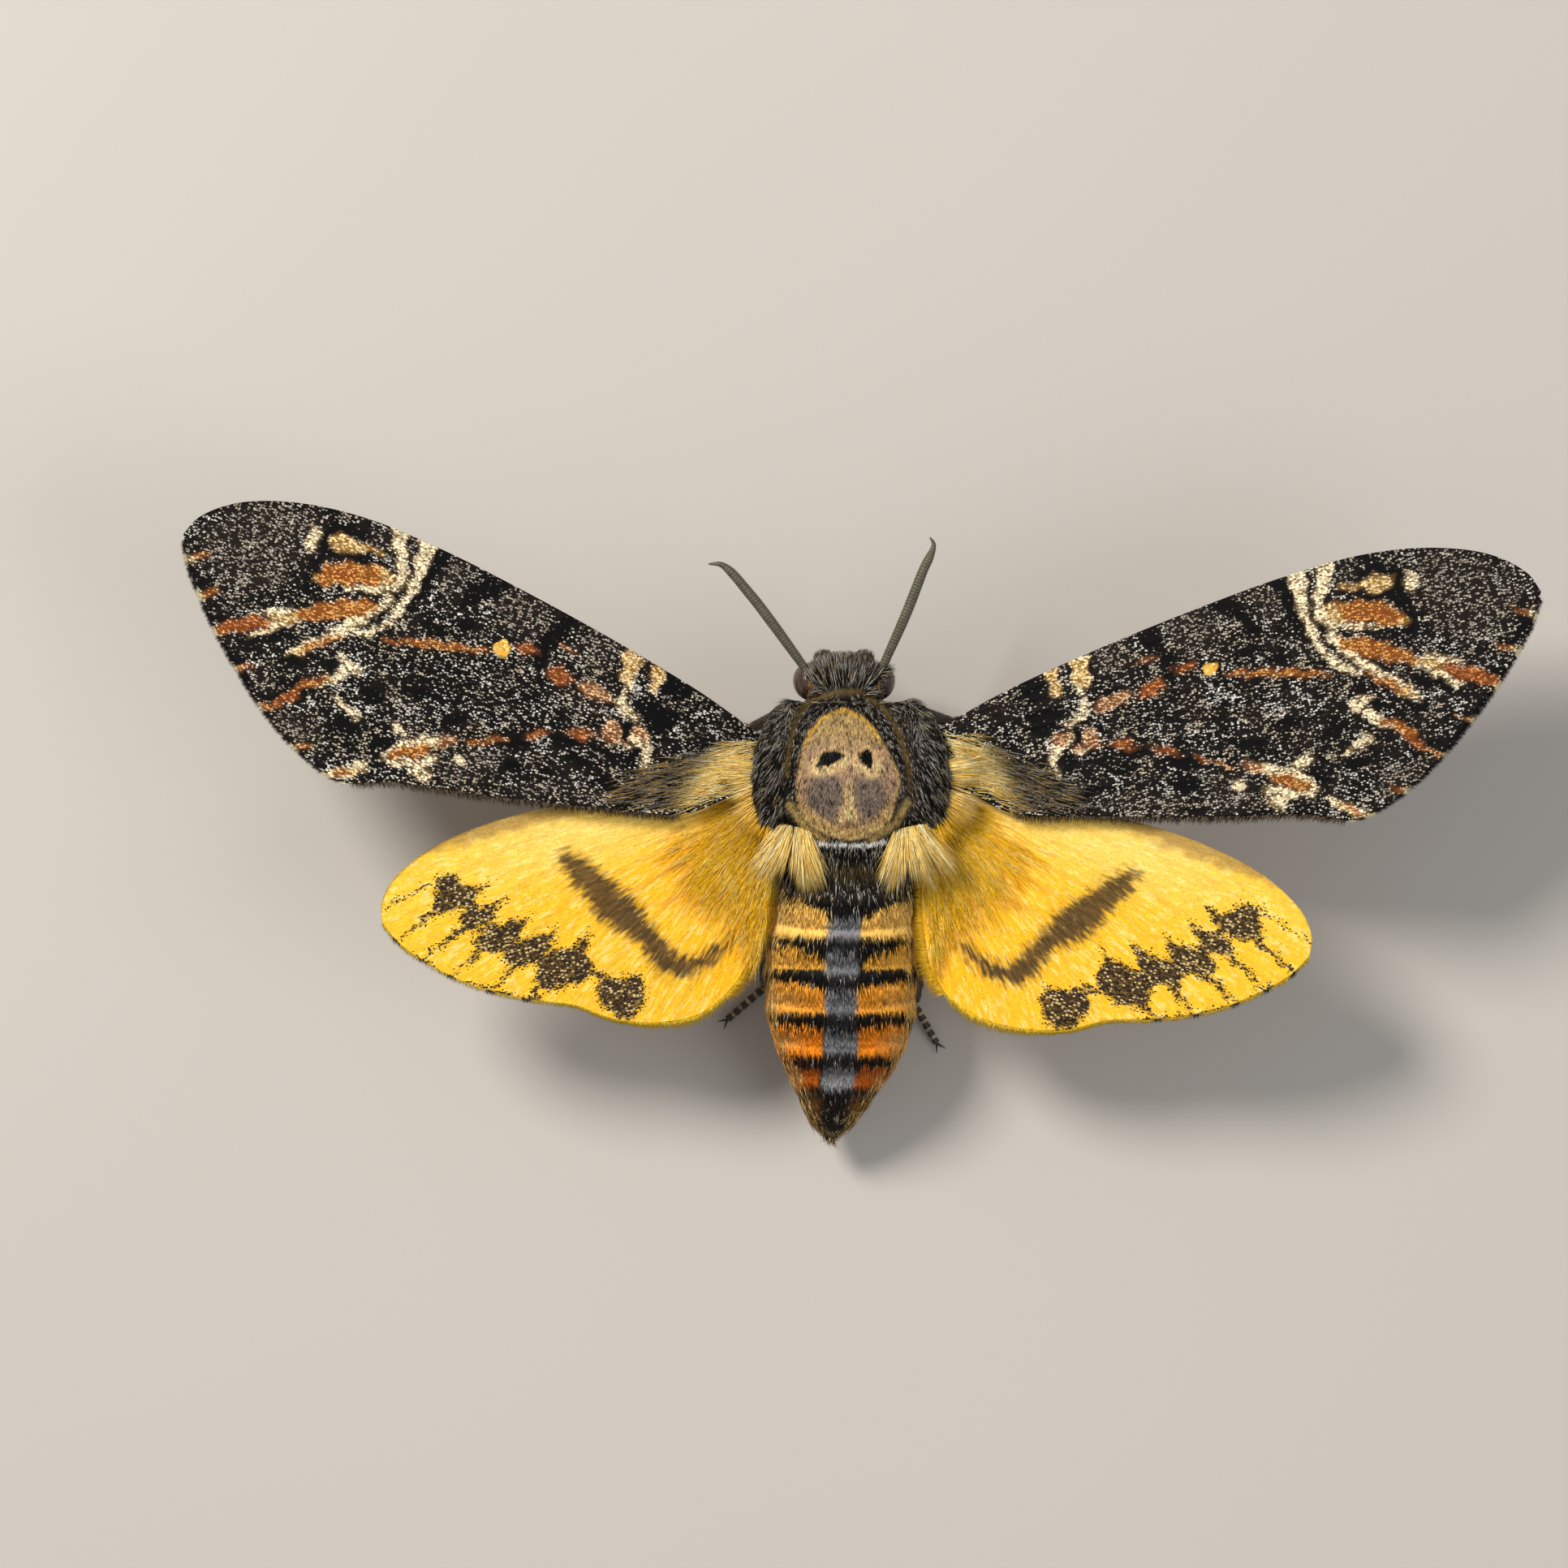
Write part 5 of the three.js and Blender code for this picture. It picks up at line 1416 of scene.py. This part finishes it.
for name, (outline, way, count, (short, long), rise) in LONG_FUR.items():
    rng = np.random.default_rng(len(name) + count)
    low = np.min(outline, axis=0)
    high = np.max(outline, axis=0)
    flat = rng.uniform(low, high, (count * 2, 2))
    flat = flat[depth_in_outline(flat, outline) > rng.uniform(-0.1, 0.35, len(flat))][:count]
    roots, up = dropped(flat)
    count = len(roots)
    ahead = np.stack([*way(roots[:, 0], roots[:, 1]), np.zeros(count)], axis=1)
    lie = turned(along_surface(ahead, up), up, rng.normal(0, 0.28, count))
    length = rng.uniform(short, long, count)
    if name == "cap":
        to_line = CAP_FRONT - CAP_ROUND * (roots[:, 0] - EYES_ON_PLAN[0]) ** 2 - roots[:, 1]
        length = np.clip(to_line, 0.35, 1.9) * rng.uniform(0.7, 1.0, count)
        lie = np.stack([*way(roots[:, 0], roots[:, 1]), np.full(count, 0.12)], axis=1)
        lie += rng.normal(0, 0.12, lie.shape)
        lie /= np.linalg.norm(lie, axis=1)[:, None]
        up = along_surface(np.tile((0.0, 0.0, 1.0), (count, 1)), lie)
    width = rng.uniform(0.05, 0.1, count)
    lift = rise * rng.uniform(0.5, 1.3, count)
    fur_patch = coat_of(roots, up, lie, length, width, lift, lift * rng.uniform(0.7, 1.3, count), rng)
    title = f"fur_{name}"
    object_from(title, tuft_mesh(title, fur_patch, rings=3), fur)
    print(title, count, "tufts")

# %% [markdown]
# ## Pale tufts
# Cream hair spreads like a fan from under each shoulder over the wings' bases, and a second tuft lies
# beside the hind edge of the thorax. Each solid tuft is replaced by thousands of fine curved locks.
# They start in the fur, lean together in clumps and end at many lengths, so the fan has no hard edge.

# %% Pale tufts
CREAM = np.stack([tint("#fbdc84"), tint("#f3c558"), tint("#fdeebc"), tint("#c6953f")])
CREAM_SHARE = (0.45, 0.25, 0.22, 0.08)
FAN_CLUMPS = 26


def fan(side, count, rng, near, far, headings, height, length, rise, seat, golden):
    """Locks fanned from a line of roots: near and far end of the line, with a heading at each."""
    clump = rng.integers(0, FAN_CLUMPS, count)
    clump_share = np.sort(rng.random(FAN_CLUMPS) ** 1.25)[clump]
    share = np.clip(clump_share + rng.normal(0, 0.035, count), 0, 1)
    near, far = np.array(near), np.array(far)
    start = near + (far - near) * share[:, None]
    angle = np.radians(headings[0] + (headings[1] - headings[0]) * share)
    clump_angle = np.radians(headings[0] + (headings[1] - headings[0]) * clump_share
                             + rng.normal(0, 4, count))
    layer = rng.random(count)
    root = np.stack([side * start[:, 0], start[:, 1], height[0] + (height[1] - height[0]) * layer], axis=1)
    root[:, 0] += side * np.cos(angle) * rng.uniform(-seat, seat, count)
    root[:, 1] += np.sin(angle) * rng.uniform(-seat, seat, count)
    goal = (near + (far - near) * clump_share[:, None]) + length * np.stack(
        [np.cos(clump_angle), np.sin(clump_angle)], axis=1)
    lie = np.stack([side * (goal[:, 0] - start[:, 0]), goal[:, 1] - start[:, 1],
                    rng.normal(0, 0.3, count)], axis=1)
    lie /= np.linalg.norm(lie, axis=1)[:, None]
    up = along_surface(np.tile((0.0, 0.0, 1.0), (count, 1)), lie)
    clump_reach = rng.uniform(0.65, 1.0, FAN_CLUMPS)[clump]
    reach = length * rng.triangular(0.35, 0.7, 1.12, count) * clump_reach * (1 - 0.25 * golden * share)
    lift = rise * (0.4 + layer) * rng.uniform(0.7, 1.3, count)
    colours = CREAM[rng.choice(len(CREAM), count, p=CREAM_SHARE)] * rng.uniform(0.8, 1.15, count)[:, None]
    colours += (tint("#f8c232") - colours) * golden * cover(share - 0.5, 0.3)[:, None]
    place = 0.02 + 0.95 * np.stack([share, layer], axis=1)
    return {"root": root, "lie": lie, "up": up, "length": reach, "width": rng.uniform(0.06, 0.12, count),
            "rise": lift, "droop": lift * rng.uniform(0.8, 1.15, count), "colour": colours, "map": place,
            "root_shade": 0.85}


for letter, side in SIDES.items():
    rng = np.random.default_rng(21 + side)
    name = f"tuft_wing_{letter}_hair"
    wing_fan = fan(side, 4200, rng, (6.6, -0.9), (6.3, -5.2), (14, -82), (13.0, 14.9), 4.9, 0.2, 0.5, 1.0)
    piece = object_from(name, tuft_mesh(name, wing_fan, rings=3), fur)
    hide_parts(f"tuft_wing_{letter}")
    name = f"tuft_side_{letter}_hair"
    side_fan = fan(side, 2700, rng, (3.4, -6.4), (5.6, -5.8), (-110, -48), (14.2, 15.6), 5.0, 0.12, 0.5, 0.0)
    piece = object_from(name, tuft_mesh(name, side_fan, rings=3), fur)
    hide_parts(f"tuft_side_{letter}")
print("four pale tufts laid")

# %% [markdown]
# ## Fringes
# A wing never ends in a cut edge: fine scales and hairs stand out of it all round. The forewing has a
# dark fringe with a cream tuft at each vein, and a hairy rear edge. The hindwing is fringed yellow,
# with longer hair along its inner edge.

# %% Fringes and wing-base hair
BASE_HAIR_COUNT = 5200
def fringe(wing, edges, edge, first, last, count, rng, length, width, colour_at, outward, spread=0.3):
    share = np.sort(rng.uniform(first, last, count))
    full = np.ones(count)
    if edge == "outer":
        flat = wing_flat(wing, edges, full, share)
        inner = wing_flat(wing, edges, full * 0.97, share)
    else:
        flat = wing_flat(wing, edges, share, full)
        inner = wing_flat(wing, edges, share, full * 0.97)
    away = flat - inner
    away /= np.linalg.norm(away, axis=1)[:, None]
    tip_flat = flat + away + np.asarray(outward) + rng.normal(0, spread, flat.shape)
    root = wing_to_plan(wing, flat - away * 0.12)
    lie = wing_to_plan(wing, tip_flat) - root
    lie /= np.linalg.norm(lie, axis=1)[:, None]
    up = along_surface(np.tile((0.0, 0.0, 1.0), (count, 1)), lie)
    root = root + up * rng.uniform(-0.05, 0.05, count)[:, None]
    bend = rng.uniform(-0.05, 0.12, count)
    return {"root": root, "lie": lie, "up": up, "length": length * rng.uniform(0.6, 1.25, count),
            "width": width * rng.uniform(0.7, 1.3, count), "rise": bend, "droop": bend,
            "colour": colour_at(flat, rng),
            "map": np.stack([share, rng.uniform(0.1, 0.9, count)], axis=1) * 0.96,
            "root_shade": 0.85}


def together(*bunches):
    keys = [key for key, value in bunches[0].items() if isinstance(value, np.ndarray)]
    whole = {key: np.concatenate([bunch[key] for bunch in bunches]) for key in keys}
    whole["root_shade"] = bunches[0].get("root_shade", 0.7)
    return whole


def dark_margin(flat, rng):
    near_tuft = np.full(len(flat), 9.0)
    for spot in MARGIN_TUFTS:
        near_tuft = np.minimum(near_tuft, np.linalg.norm(flat - np.array(spot), axis=1))
    pale = (near_tuft + rng.normal(0, 0.12, len(flat))) < 0.42
    dark = tint("#1c1612") * rng.uniform(0.6, 2.2, len(flat))[:, None]
    return np.where(pale[:, None], tint("#ead7a8"), dark)


def dark_rear(flat, rng):
    mix = rng.random(len(flat))[:, None]
    return np.where(mix < 0.7, tint("#2a2019"), tint("#8a7355")) * rng.uniform(0.6, 1.4, (len(flat), 1))


def yellow_edge(flat, rng):
    dark = np.full(len(flat), 9.0)
    for _, arm in CHEVRONS:
        dark = np.minimum(dark, np.linalg.norm(flat - np.array(arm[-1]), axis=1))
    near = (dark + rng.normal(0, 0.1, len(flat))) < 0.4
    yellow = tint("#f2c92f") * rng.uniform(0.8, 1.15, len(flat))[:, None]
    return np.where(near[:, None], tint("#4a3622"), yellow)


def inner_hair(flat, rng):
    pale = cover(flat[:, 1] + 6.0, 2.0)[:, None]
    return (tint("#f5d67a") * pale + tint("#eebc2c") * (1 - pale)) * rng.uniform(0.75, 1.15, (len(flat), 1))


for name, wing in WINGS.items():
    kind, letter = name.split("_")
    rng = np.random.default_rng(31 + SIDES[letter])
    if kind == "forewing":
        margin = fringe(wing, FOREWING_EDGES, "outer", 0.02, 1.0, 2400, rng, 0.5, 0.07, dark_margin,
                        (0.2, -0.2))
        rear = fringe(wing, FOREWING_EDGES, "inner", 0.2, 0.99, 2200, rng, 0.75, 0.06, dark_rear, (0.5, 0))
        edge = together(margin, rear)
    else:
        margin = fringe(wing, HINDWING_EDGES, "outer", 0.0, 0.8, 2000, rng, 0.5, 0.06, yellow_edge,
                        (0.1, -0.1))
        corner = fringe(wing, HINDWING_EDGES, "outer", 0.5, 1.0, 1700, rng, 0.95, 0.06, yellow_edge,
                        (0, -0.3), 0.45)
        corner["length"] = corner["length"] * (0.45 + 0.55 * cover(corner["map"][:, 0] - 0.72, 0.14))
        margin = together(margin, corner)
        rear = fringe(wing, HINDWING_EDGES, "inner", 0.12, 1.0, 2200, rng, 1.15, 0.06, inner_hair,
                      (0.0, -0.7))
        edge = together(margin, rear)
    title = f"{name}_fringe"
    object_from(title, tuft_mesh(title, edge, rings=1), fur)


def base_hair(wing, kind, count, rng):
    """Hair that lies over a wing's base, outwards and back, in the colours of the place."""
    if kind == "forewing":
        flat = rng.uniform((-1.0, -8.6), (8.6, 0.0), (count, 2))
        keep = depth_in_outline(flat, [(-1.5, -0.2), (2.2, -1.6), (5.0, -3.6), (8.8, -6.6), (8.9, -9.0),
                                       (3.4, -7.7), (0.4, -5.4), (-1.5, -3.8)])
        keep = keep > rng.uniform(-0.2, 1.6, count)
        heading = (1.0, -0.55)
    else:
        flat = rng.uniform((-1.5, -13.5), (9.0, 1.0), (count, 2))
        keep = depth_in_outline(flat, [(-1.6, 0.3), (3.0, 0.6), (9.0, -1.0), (8.0, -5.5), (5.0, -10.0),
                                       (4.4, -13.0), (3.2, -11.5), (1.4, -7.6), (0.6, -5.2), (-0.2, -3.2)])
        keep = keep > np.where(flat[:, 0] > 4.0, rng.uniform(0.0, 3.0, count), 0.0)
        heading = None
    flat = flat[keep]
    count = len(flat)
    if heading:
        ahead = np.tile(heading, (count, 1))
    else:
        ahead = flat - np.array((-3.5, 1.5))
    ahead = ahead / np.linalg.norm(ahead, axis=1)[:, None] + rng.normal(0, 0.14, (count, 2))
    thick = MEMBRANE + (MEMBRANE_AT_ROOT - MEMBRANE) * np.clip(1 - flat[:, 0] / 45, 0, 1) ** 5
    root = wing_to_plan(wing, flat, thick / 2 - 0.03)
    lie = wing_to_plan(wing, flat + ahead, thick / 2) - root
    lie /= np.linalg.norm(lie, axis=1)[:, None]
    up = along_surface(np.tile((0.0, 0.0, 1.0), (count, 1)), lie)
    if kind == "forewing":
        golden = cover(flat[:, 0] + flat[:, 1] * 0.25 - 1.2, 1.2)[:, None]
        draw = rng.random((count, 1))
        dark = np.where(draw < 0.5, tint("#15110d"), np.where(draw < 0.82, tint("#8d8373"), tint("#b08d4e")))
        dark = dark * rng.uniform(0.6, 1.25, (count, 1))
        pale = CREAM[rng.choice(len(CREAM), count, p=CREAM_SHARE)]
        colours = pale * (1 - golden) + dark * golden
        length = rng.uniform(1.2, 2.2, count)
    else:
        yellow = tint("#ffcc1c") * rng.uniform(0.85, 1.0, (count, 1))
        pale = tint("#fbdc7c") * rng.uniform(0.85, 1.05, (count, 1))
        deep = tint("#e89c12") * rng.uniform(0.8, 1.1, (count, 1))
        draw = rng.random((count, 1))
        colours = np.where(draw < 0.08, deep, np.where(draw < 0.75, yellow, pale))
        length = rng.uniform(1.4, 2.8, count)
    rise = rng.uniform(0.04, 0.09, count)
    place = np.stack([(flat[:, 0] + 2) / 14, (flat[:, 1] + 14) / 16], axis=1) * 0.95
    return {"root": root, "lie": lie, "up": up, "length": length, "width": rng.uniform(0.045, 0.075, count),
            "rise": rise, "droop": rise * rng.uniform(0.7, 1.0, count), "colour": colours, "map": place,
            "root_shade": 0.95}


for name, wing in WINGS.items():
    kind, letter = name.split("_")
    rng = np.random.default_rng(41 + SIDES[letter])
    title = f"{name}_base_hair"
    hair = base_hair(wing, kind, BASE_HAIR_COUNT, rng)
    object_from(title, tuft_mesh(title, hair), fur)
    print(title, len(hair["root"]), "tufts")

# %% [markdown]
# ## Eyes
# A hawkmoth's eye is a large dark dome of tiny facets, sunk at its rim in the fur. An ico sphere is
# squashed into the dome, and the facets are small cells in its bump, too fine for faces of their own.

# %% Eyes
EYE_OUT = 2.72
EYE_RADII = (1.32, 1.5, 1.7)
EYE_TURN = 14

eye, tree, surface = new_material("compound eye")
where = add(tree, "ShaderNodeTexCoord").outputs["Object"]
facets = add(tree, "ShaderNodeTexVoronoi", {"Vector": where, "Scale": 9000.0}, feature="F1")
domes = math_node(tree, "SUBTRACT", 1.0, facets.outputs["Distance"])
colour = blend(tree, cloud_of(tree, 700.0, 2.0), shade("#1d130d"), shade("#4d3829"))
dress(tree, surface, colour, 0.22, domes, 0.02, 0.5, Coat_Weight=0.3)

for letter, side in SIDES.items():
    form = bmesh.new()
    bmesh.ops.create_icosphere(form, subdivisions=5, radius=1.0)
    bmesh.ops.scale(form, verts=form.verts, vec=EYE_RADII)
    bmesh.ops.rotate(form, verts=form.verts, matrix=Matrix.Rotation(math.radians(-side * EYE_TURN), 3, "Z"))
    centre = EYES_ON_PLAN + np.array((side * EYE_OUT, 0, 0))
    bmesh.ops.translate(form, verts=form.verts, vec=centre)
    piece = object_from(f"eye_dome_{letter}", gather([form], f"eye_dome_{letter}"), eye)
    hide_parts(f"eye_{letter}")
print("eye domes of", EYE_RADII, "mm")

# %% [markdown]
# ## Feelers
# Each feeler is a stout, finely ringed rod, olive-brown above, that tapers to a thin hooked tip. Its
# inner side is combed with rows of pale bristles, which the photo shows as a serrated cream line.

# %% Feelers
FEELER_ROOT = (2.75, 6.35, 12.3)
FEELER_WAY = {
    "l": [(-6.3, 10.4, 13.6), (-8.0, 12.6, 14.1), (-10.2, 14.9, 14.5), (-11.3, 15.0, 14.5)],
    "r": [(4.3, 11.2, 13.9), (5.5, 14.3, 14.5), (6.4, 16.5, 14.8), (6.1, 17.1, 14.8)],
}
FEELER_RINGS = 46

feeler, tree, surface = new_material("ringed horn")
cloud = cloud_of(tree, 2500.0, 3.0)
colour = blend(tree, cloud, shade("#2f2c20"), shade("#6b654c"))
colour = blend(tree, field(tree, "groove"), colour, shade("#221b12"))
dress(tree, surface, colour, 0.55, cloud, 0.02, 0.6)


def feeler_radius(share):
    taper = min(1, max(0, (1 - share) / 0.16)) ** 0.8
    ring = (share * FEELER_RINGS) % 1
    ripple = 0.035 * math.sin(ring * math.pi) * min(1, taper)
    cap = min(1, share / 0.004 + 0.001, (1 - share) / 0.004 + 0.001) ** 0.5
    return (0.05 + (0.25 + 0.09 * math.sin(share * math.pi)) * taper + ripple) * cap


for letter, side in SIDES.items():
    start = EYES_ON_PLAN * (1, 0, 0) + np.array((side * FEELER_ROOT[0], FEELER_ROOT[1], FEELER_ROOT[2]))
    path = [start, *FEELER_WAY[letter]]
    steps = FEELER_RINGS * 6
    name = f"feeler_{letter}"
    mesh = gather([sweep(path, feeler_radius, sides=14, steps=steps)], name)
    line = smooth_line(path)
    track = line(np.linspace(0, 1, 800))
    apart = np.linalg.norm(to_plan(points_of(mesh))[:, None] - track[None], axis=2)
    nearest = apart.argmin(1) / 799
    ring = (nearest * FEELER_RINGS) % 1
    grooves = mesh.attributes.new("groove", "FLOAT", "POINT")
    grooves.data.foreach_set("value", (1 - np.sin(ring * math.pi) ** 0.4).astype(np.float32))
    piece = object_from(name, mesh, feeler)
    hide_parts(f"antenna_{letter}")
    rng = np.random.default_rng(51 + side)
    bristle_share = np.repeat((np.arange(FEELER_RINGS * 2) + 0.5) / (FEELER_RINGS * 2) * 0.88, 10)
    place = line(bristle_share)
    heading = line(bristle_share + 0.01) - place
    heading /= np.linalg.norm(heading, axis=1)[:, None]
    inward = np.cross(heading, (0, 0, 1.0)) * -side
    inward /= np.linalg.norm(inward, axis=1)[:, None]
    fanned = np.tile(np.linspace(-0.7, 0.5, 10), FEELER_RINGS * 2)
    out = inward + np.array((0, 0, 1.0))[None] * fanned[:, None]
    out /= np.linalg.norm(out, axis=1)[:, None]
    count = len(place)
    bristles = {"root": place + out * 0.24, "lie": out, "up": heading,
                "length": rng.uniform(0.2, 0.3, count), "width": np.full(count, 0.06),
                "rise": np.full(count, 0.2), "droop": np.zeros(count),
                "colour": tint("#e6d3a0") * rng.uniform(0.7, 1.1, (count, 1)),
                "map": np.stack([bristle_share, 0.5 + 0.3 * fanned], axis=1) * 0.95, "root_shade": 0.8}
    object_from(f"feeler_comb_{letter}", tuft_mesh(f"feeler_comb_{letter}", bristles, rings=1), fur)
print("feelers with", FEELER_RINGS, "rings")

# %% [markdown]
# ## Tongue
# This moth's tongue is short and stout, and at rest it is coiled between the palps. A tapering tube
# is swept along a flat spiral of one and a half turns.

# %% Tongue
horn, tree, surface = new_material("dark chitin")
cloud = cloud_of(tree, 1800.0, 4.0)
dress(tree, surface, blend(tree, cloud, shade("#170f0b"), shade("#4a3425")), 0.38, cloud, 0.03, 0.6)

COIL_MIDDLE = (-0.6, 7.1, 7.1)
COIL_STEPS = 15
COIL_RADIUS = 0.98
COIL_TIGHTENS = 0.045
coil = []
for step in range(COIL_STEPS):
    turn = math.radians(200 - step * 40)
    radius = COIL_RADIUS - step * COIL_TIGHTENS
    coil.append(np.array(COIL_MIDDLE) + (0, radius * math.cos(turn), radius * math.sin(turn)))


def tongue_radius(share):
    return (0.3 - 0.2 * share) * min(1, (1 - share) / 0.02 + 0.01) ** 0.5


tongue_form = sweep(coil, tongue_radius, sides=12, steps=120, up=(1, 0, 0))
piece = object_from("coiled_tongue", gather([tongue_form], "coiled_tongue"), horn)
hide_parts("tongue")
print("tongue coiled in", COIL_STEPS, "steps")

# %% [markdown]
# ## Legs
# Each leg has a thick femur, a thinner tibia with spurs, and a tarsus of five short rings that ends in
# two hooked claws. They are swept along the same joints as in the solids and rest on the same flats.
# Dark scales and hairs cover the upper lengths, and the tarsi are banded pale.

# %% Legs
LEGS = {
    "front_l": [(-2, 2.4, 6.2), (-5.4, 3.3, 5.3), (-8, 2.2, 1.1), (-11.3, 2.7, 0.27)],
    "front_r": [(1.6, 2.4, 6.2), (5.3, 3.4, 5.3), (8, 2.7, 1.1), (11.4, 3.4, 0.27)],
    "middle_l": [(-2.3, -1.6, 5), (-6.6, -2.8, 5.2), (-9.9, -4.4, 1.1), (-13.4, -6.2, 0.27)],
    "middle_r": [(2.3, -1.6, 5), (6.6, -3.2, 5.2), (9.8, -5, 1.1), (13.1, -7, 0.27)],
    "hind_l": [(-2.5, -5.4, 5.2), (-6.6, -10.2, 4.9), (-6.9, -18.6, 1.1), (-9.9, -21.2, 0.27)],
    "hind_r": [(2.4, -5.4, 5.2), (6.3, -10.6, 4.9), (5.1, -20, 1.1), (6.9, -23.1, 0.27)],
}
SPUR_PAIRS = {"front": 0, "middle": 1, "hind": 2}
JOINTS_IN_FOOT = 5

leg, tree, surface = new_material("banded leg")
cloud = cloud_of(tree, 2600.0, 3.0)
colour = blend(tree, cloud, shade("#17110d"), shade("#43362a"))
mask = times(tree, field(tree, "band"), remap(tree, cloud, 0.3, 0.6))
dress(tree, surface, blend(tree, mask, colour, shade("#b9a27c")), 0.5, cloud, 0.03, 0.8)


def rounded(share, at=0.03):
    return min(1, share / at + 0.002, (1 - share) / at + 0.002) ** 0.5


def leg_forms(name, joints):
    hip, knee, ankle, toe = (np.array(joint) for joint in joints)
    kind = name.split("_")[0]
    forms = [
        sweep([hip, (hip + knee) / 2 + (0, 0, 0.12), knee],
              lambda share: (0.86 - 0.24 * share) * rounded(share), sides=14, steps=24),
        sweep([knee, (knee + ankle) / 2 + (0, 0, 0.1), ankle],
              lambda share: (0.6 - 0.2 * share) * rounded(share), sides=12, steps=24),
    ]

    def foot_radius(share):
        ring = (share * JOINTS_IN_FOOT) % 1
        swell = 0.72 + 0.28 * ring ** 1.5 - 0.35 * max(0, ring - 0.93) / 0.07
        return (0.37 - 0.06 * share) * swell * rounded(share, 0.02)

    forms.append(sweep([ankle, ankle * 0.45 + toe * 0.55, toe], foot_radius, sides=12, steps=60))
    forward = (toe - ankle) * (1, 1, 0)
    forward /= np.linalg.norm(forward)
    aside = np.array((-forward[1], forward[0], 0))
    for way in (-1, 1):
        path = [toe + (0, 0, 0.02), toe + forward * 0.42 + aside * way * 0.25 + (0, 0, 0.1),
                toe + forward * 0.75 + aside * way * 0.42 + (0, 0, -0.14)]
        forms.append(sweep(path, lambda share: 0.1 * (1 - share) ** 0.7 + 0.004, sides=8, steps=10))
    down = (ankle - knee) / np.linalg.norm(ankle - knee)
    for pair in range(SPUR_PAIRS[kind]):
        at = ankle - down * (0.25 + pair * 2.6)
        for way in (-1, 1):
            tip = at + down * 1.5 + aside * way * 0.62 + (0, 0, -0.05)
            forms.append(sweep([at, (at + tip) / 2 + aside * way * 0.08, tip],
                               lambda share: 0.14 * (1 - share) ** 0.6 + 0.004, sides=8, steps=10))
    return forms


for name, joints in LEGS.items():
    title = f"leg_{name}"
    mesh = gather(leg_forms(name, joints), title)
    points = to_plan(points_of(mesh))
    points[:, 2] = np.maximum(points[:, 2], 0.0)
    hip, knee, ankle, toe = (np.array(joint) for joint in joints)
    run = toe - ankle
    share = ((points - ankle) * run).sum(1) / (run ** 2).sum()
    aside = np.linalg.norm(points - ankle - np.clip(share, 0, 1)[:, None] * run, axis=1)
    on_foot = (share > -0.02) & (share < 1.0) & (aside < 0.6)
    ring = (share * JOINTS_IN_FOOT) % 1
    pale = on_foot & (ring < 0.3)
    mesh.attributes.new("band", "FLOAT", "POINT").data.foreach_set("value", pale.astype(np.float32))
    move_points(mesh, to_frame(points))
    piece = object_from(title, mesh, leg)
    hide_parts(*(f"leg_{name}_{length}" for length in ("femur", "tibia", "tarsus")))
    rng = np.random.default_rng(61)
    fur_roots, fur_up = scattered(mesh, lambda p, n: np.where(p[:, 2] > 1.25, 26.0, 0.0) + 5.0, rng)
    low = fur_roots[:, 2] < 1.3
    way = np.where(((fur_roots - knee) @ (ankle - knee) > 0)[:, None], ankle - knee, knee - hip)
    way = np.where(low[:, None], toe - ankle, way)
    fur_lie = along_surface(way / np.linalg.norm(way, axis=1)[:, None], fur_up)
    count = len(fur_roots)
    fur_lie = turned(fur_lie, fur_up, rng.normal(0, 0.2, count))
    tone = np.where(rng.random((count, 1)) < 0.3, tint("#8d7859"), tint("#2a2019"))
    hairs = {"root": fur_roots - fur_up * 0.04, "lie": fur_lie, "up": fur_up,
             "length": np.where(low, 0.22, 0.7) * rng.uniform(0.6, 1.3, count),
             "width": np.full(count, 0.06), "rise": np.full(count, 0.22), "droop": np.full(count, 0.1),
             "colour": tone * rng.uniform(0.6, 1.4, (count, 1)),
             "map": np.stack([(fur_roots[:, 0] + 15) / 30, (fur_roots[:, 1] + 26) / 34], axis=1) * 0.95}
    keep = hairs["root"][:, 2] > 0.35
    hairs = part_of(hairs, keep)
    object_from(f"{title}_hair", tuft_mesh(f"{title}_hair", hairs, rings=1), fur)
print("six legs made")

# %% [markdown]
# ## Floor
# The floor is stage, not part of the moth.

# %% Floor
floor_material, tree, surface = new_material("pale floor")
dress(tree, surface, blend(tree, cloud_of(tree, 6.0, 2.0), shade("#b4aea6"), shade("#bcb6ae")), 0.9)
form = bmesh.new()
bmesh.ops.create_grid(form, x_segments=1, y_segments=1, size=2.0)
bmesh.ops.translate(form, verts=form.verts, vec=(0, 0, cad_box[0][2] - 0.00002))
floor = bpy.data.objects.new("floor", mesh_of(form, "floor", smooth=False))
floor.data.materials.append(floor_material)
scene.collection.objects.link(floor)
print("floor laid just under the feet")
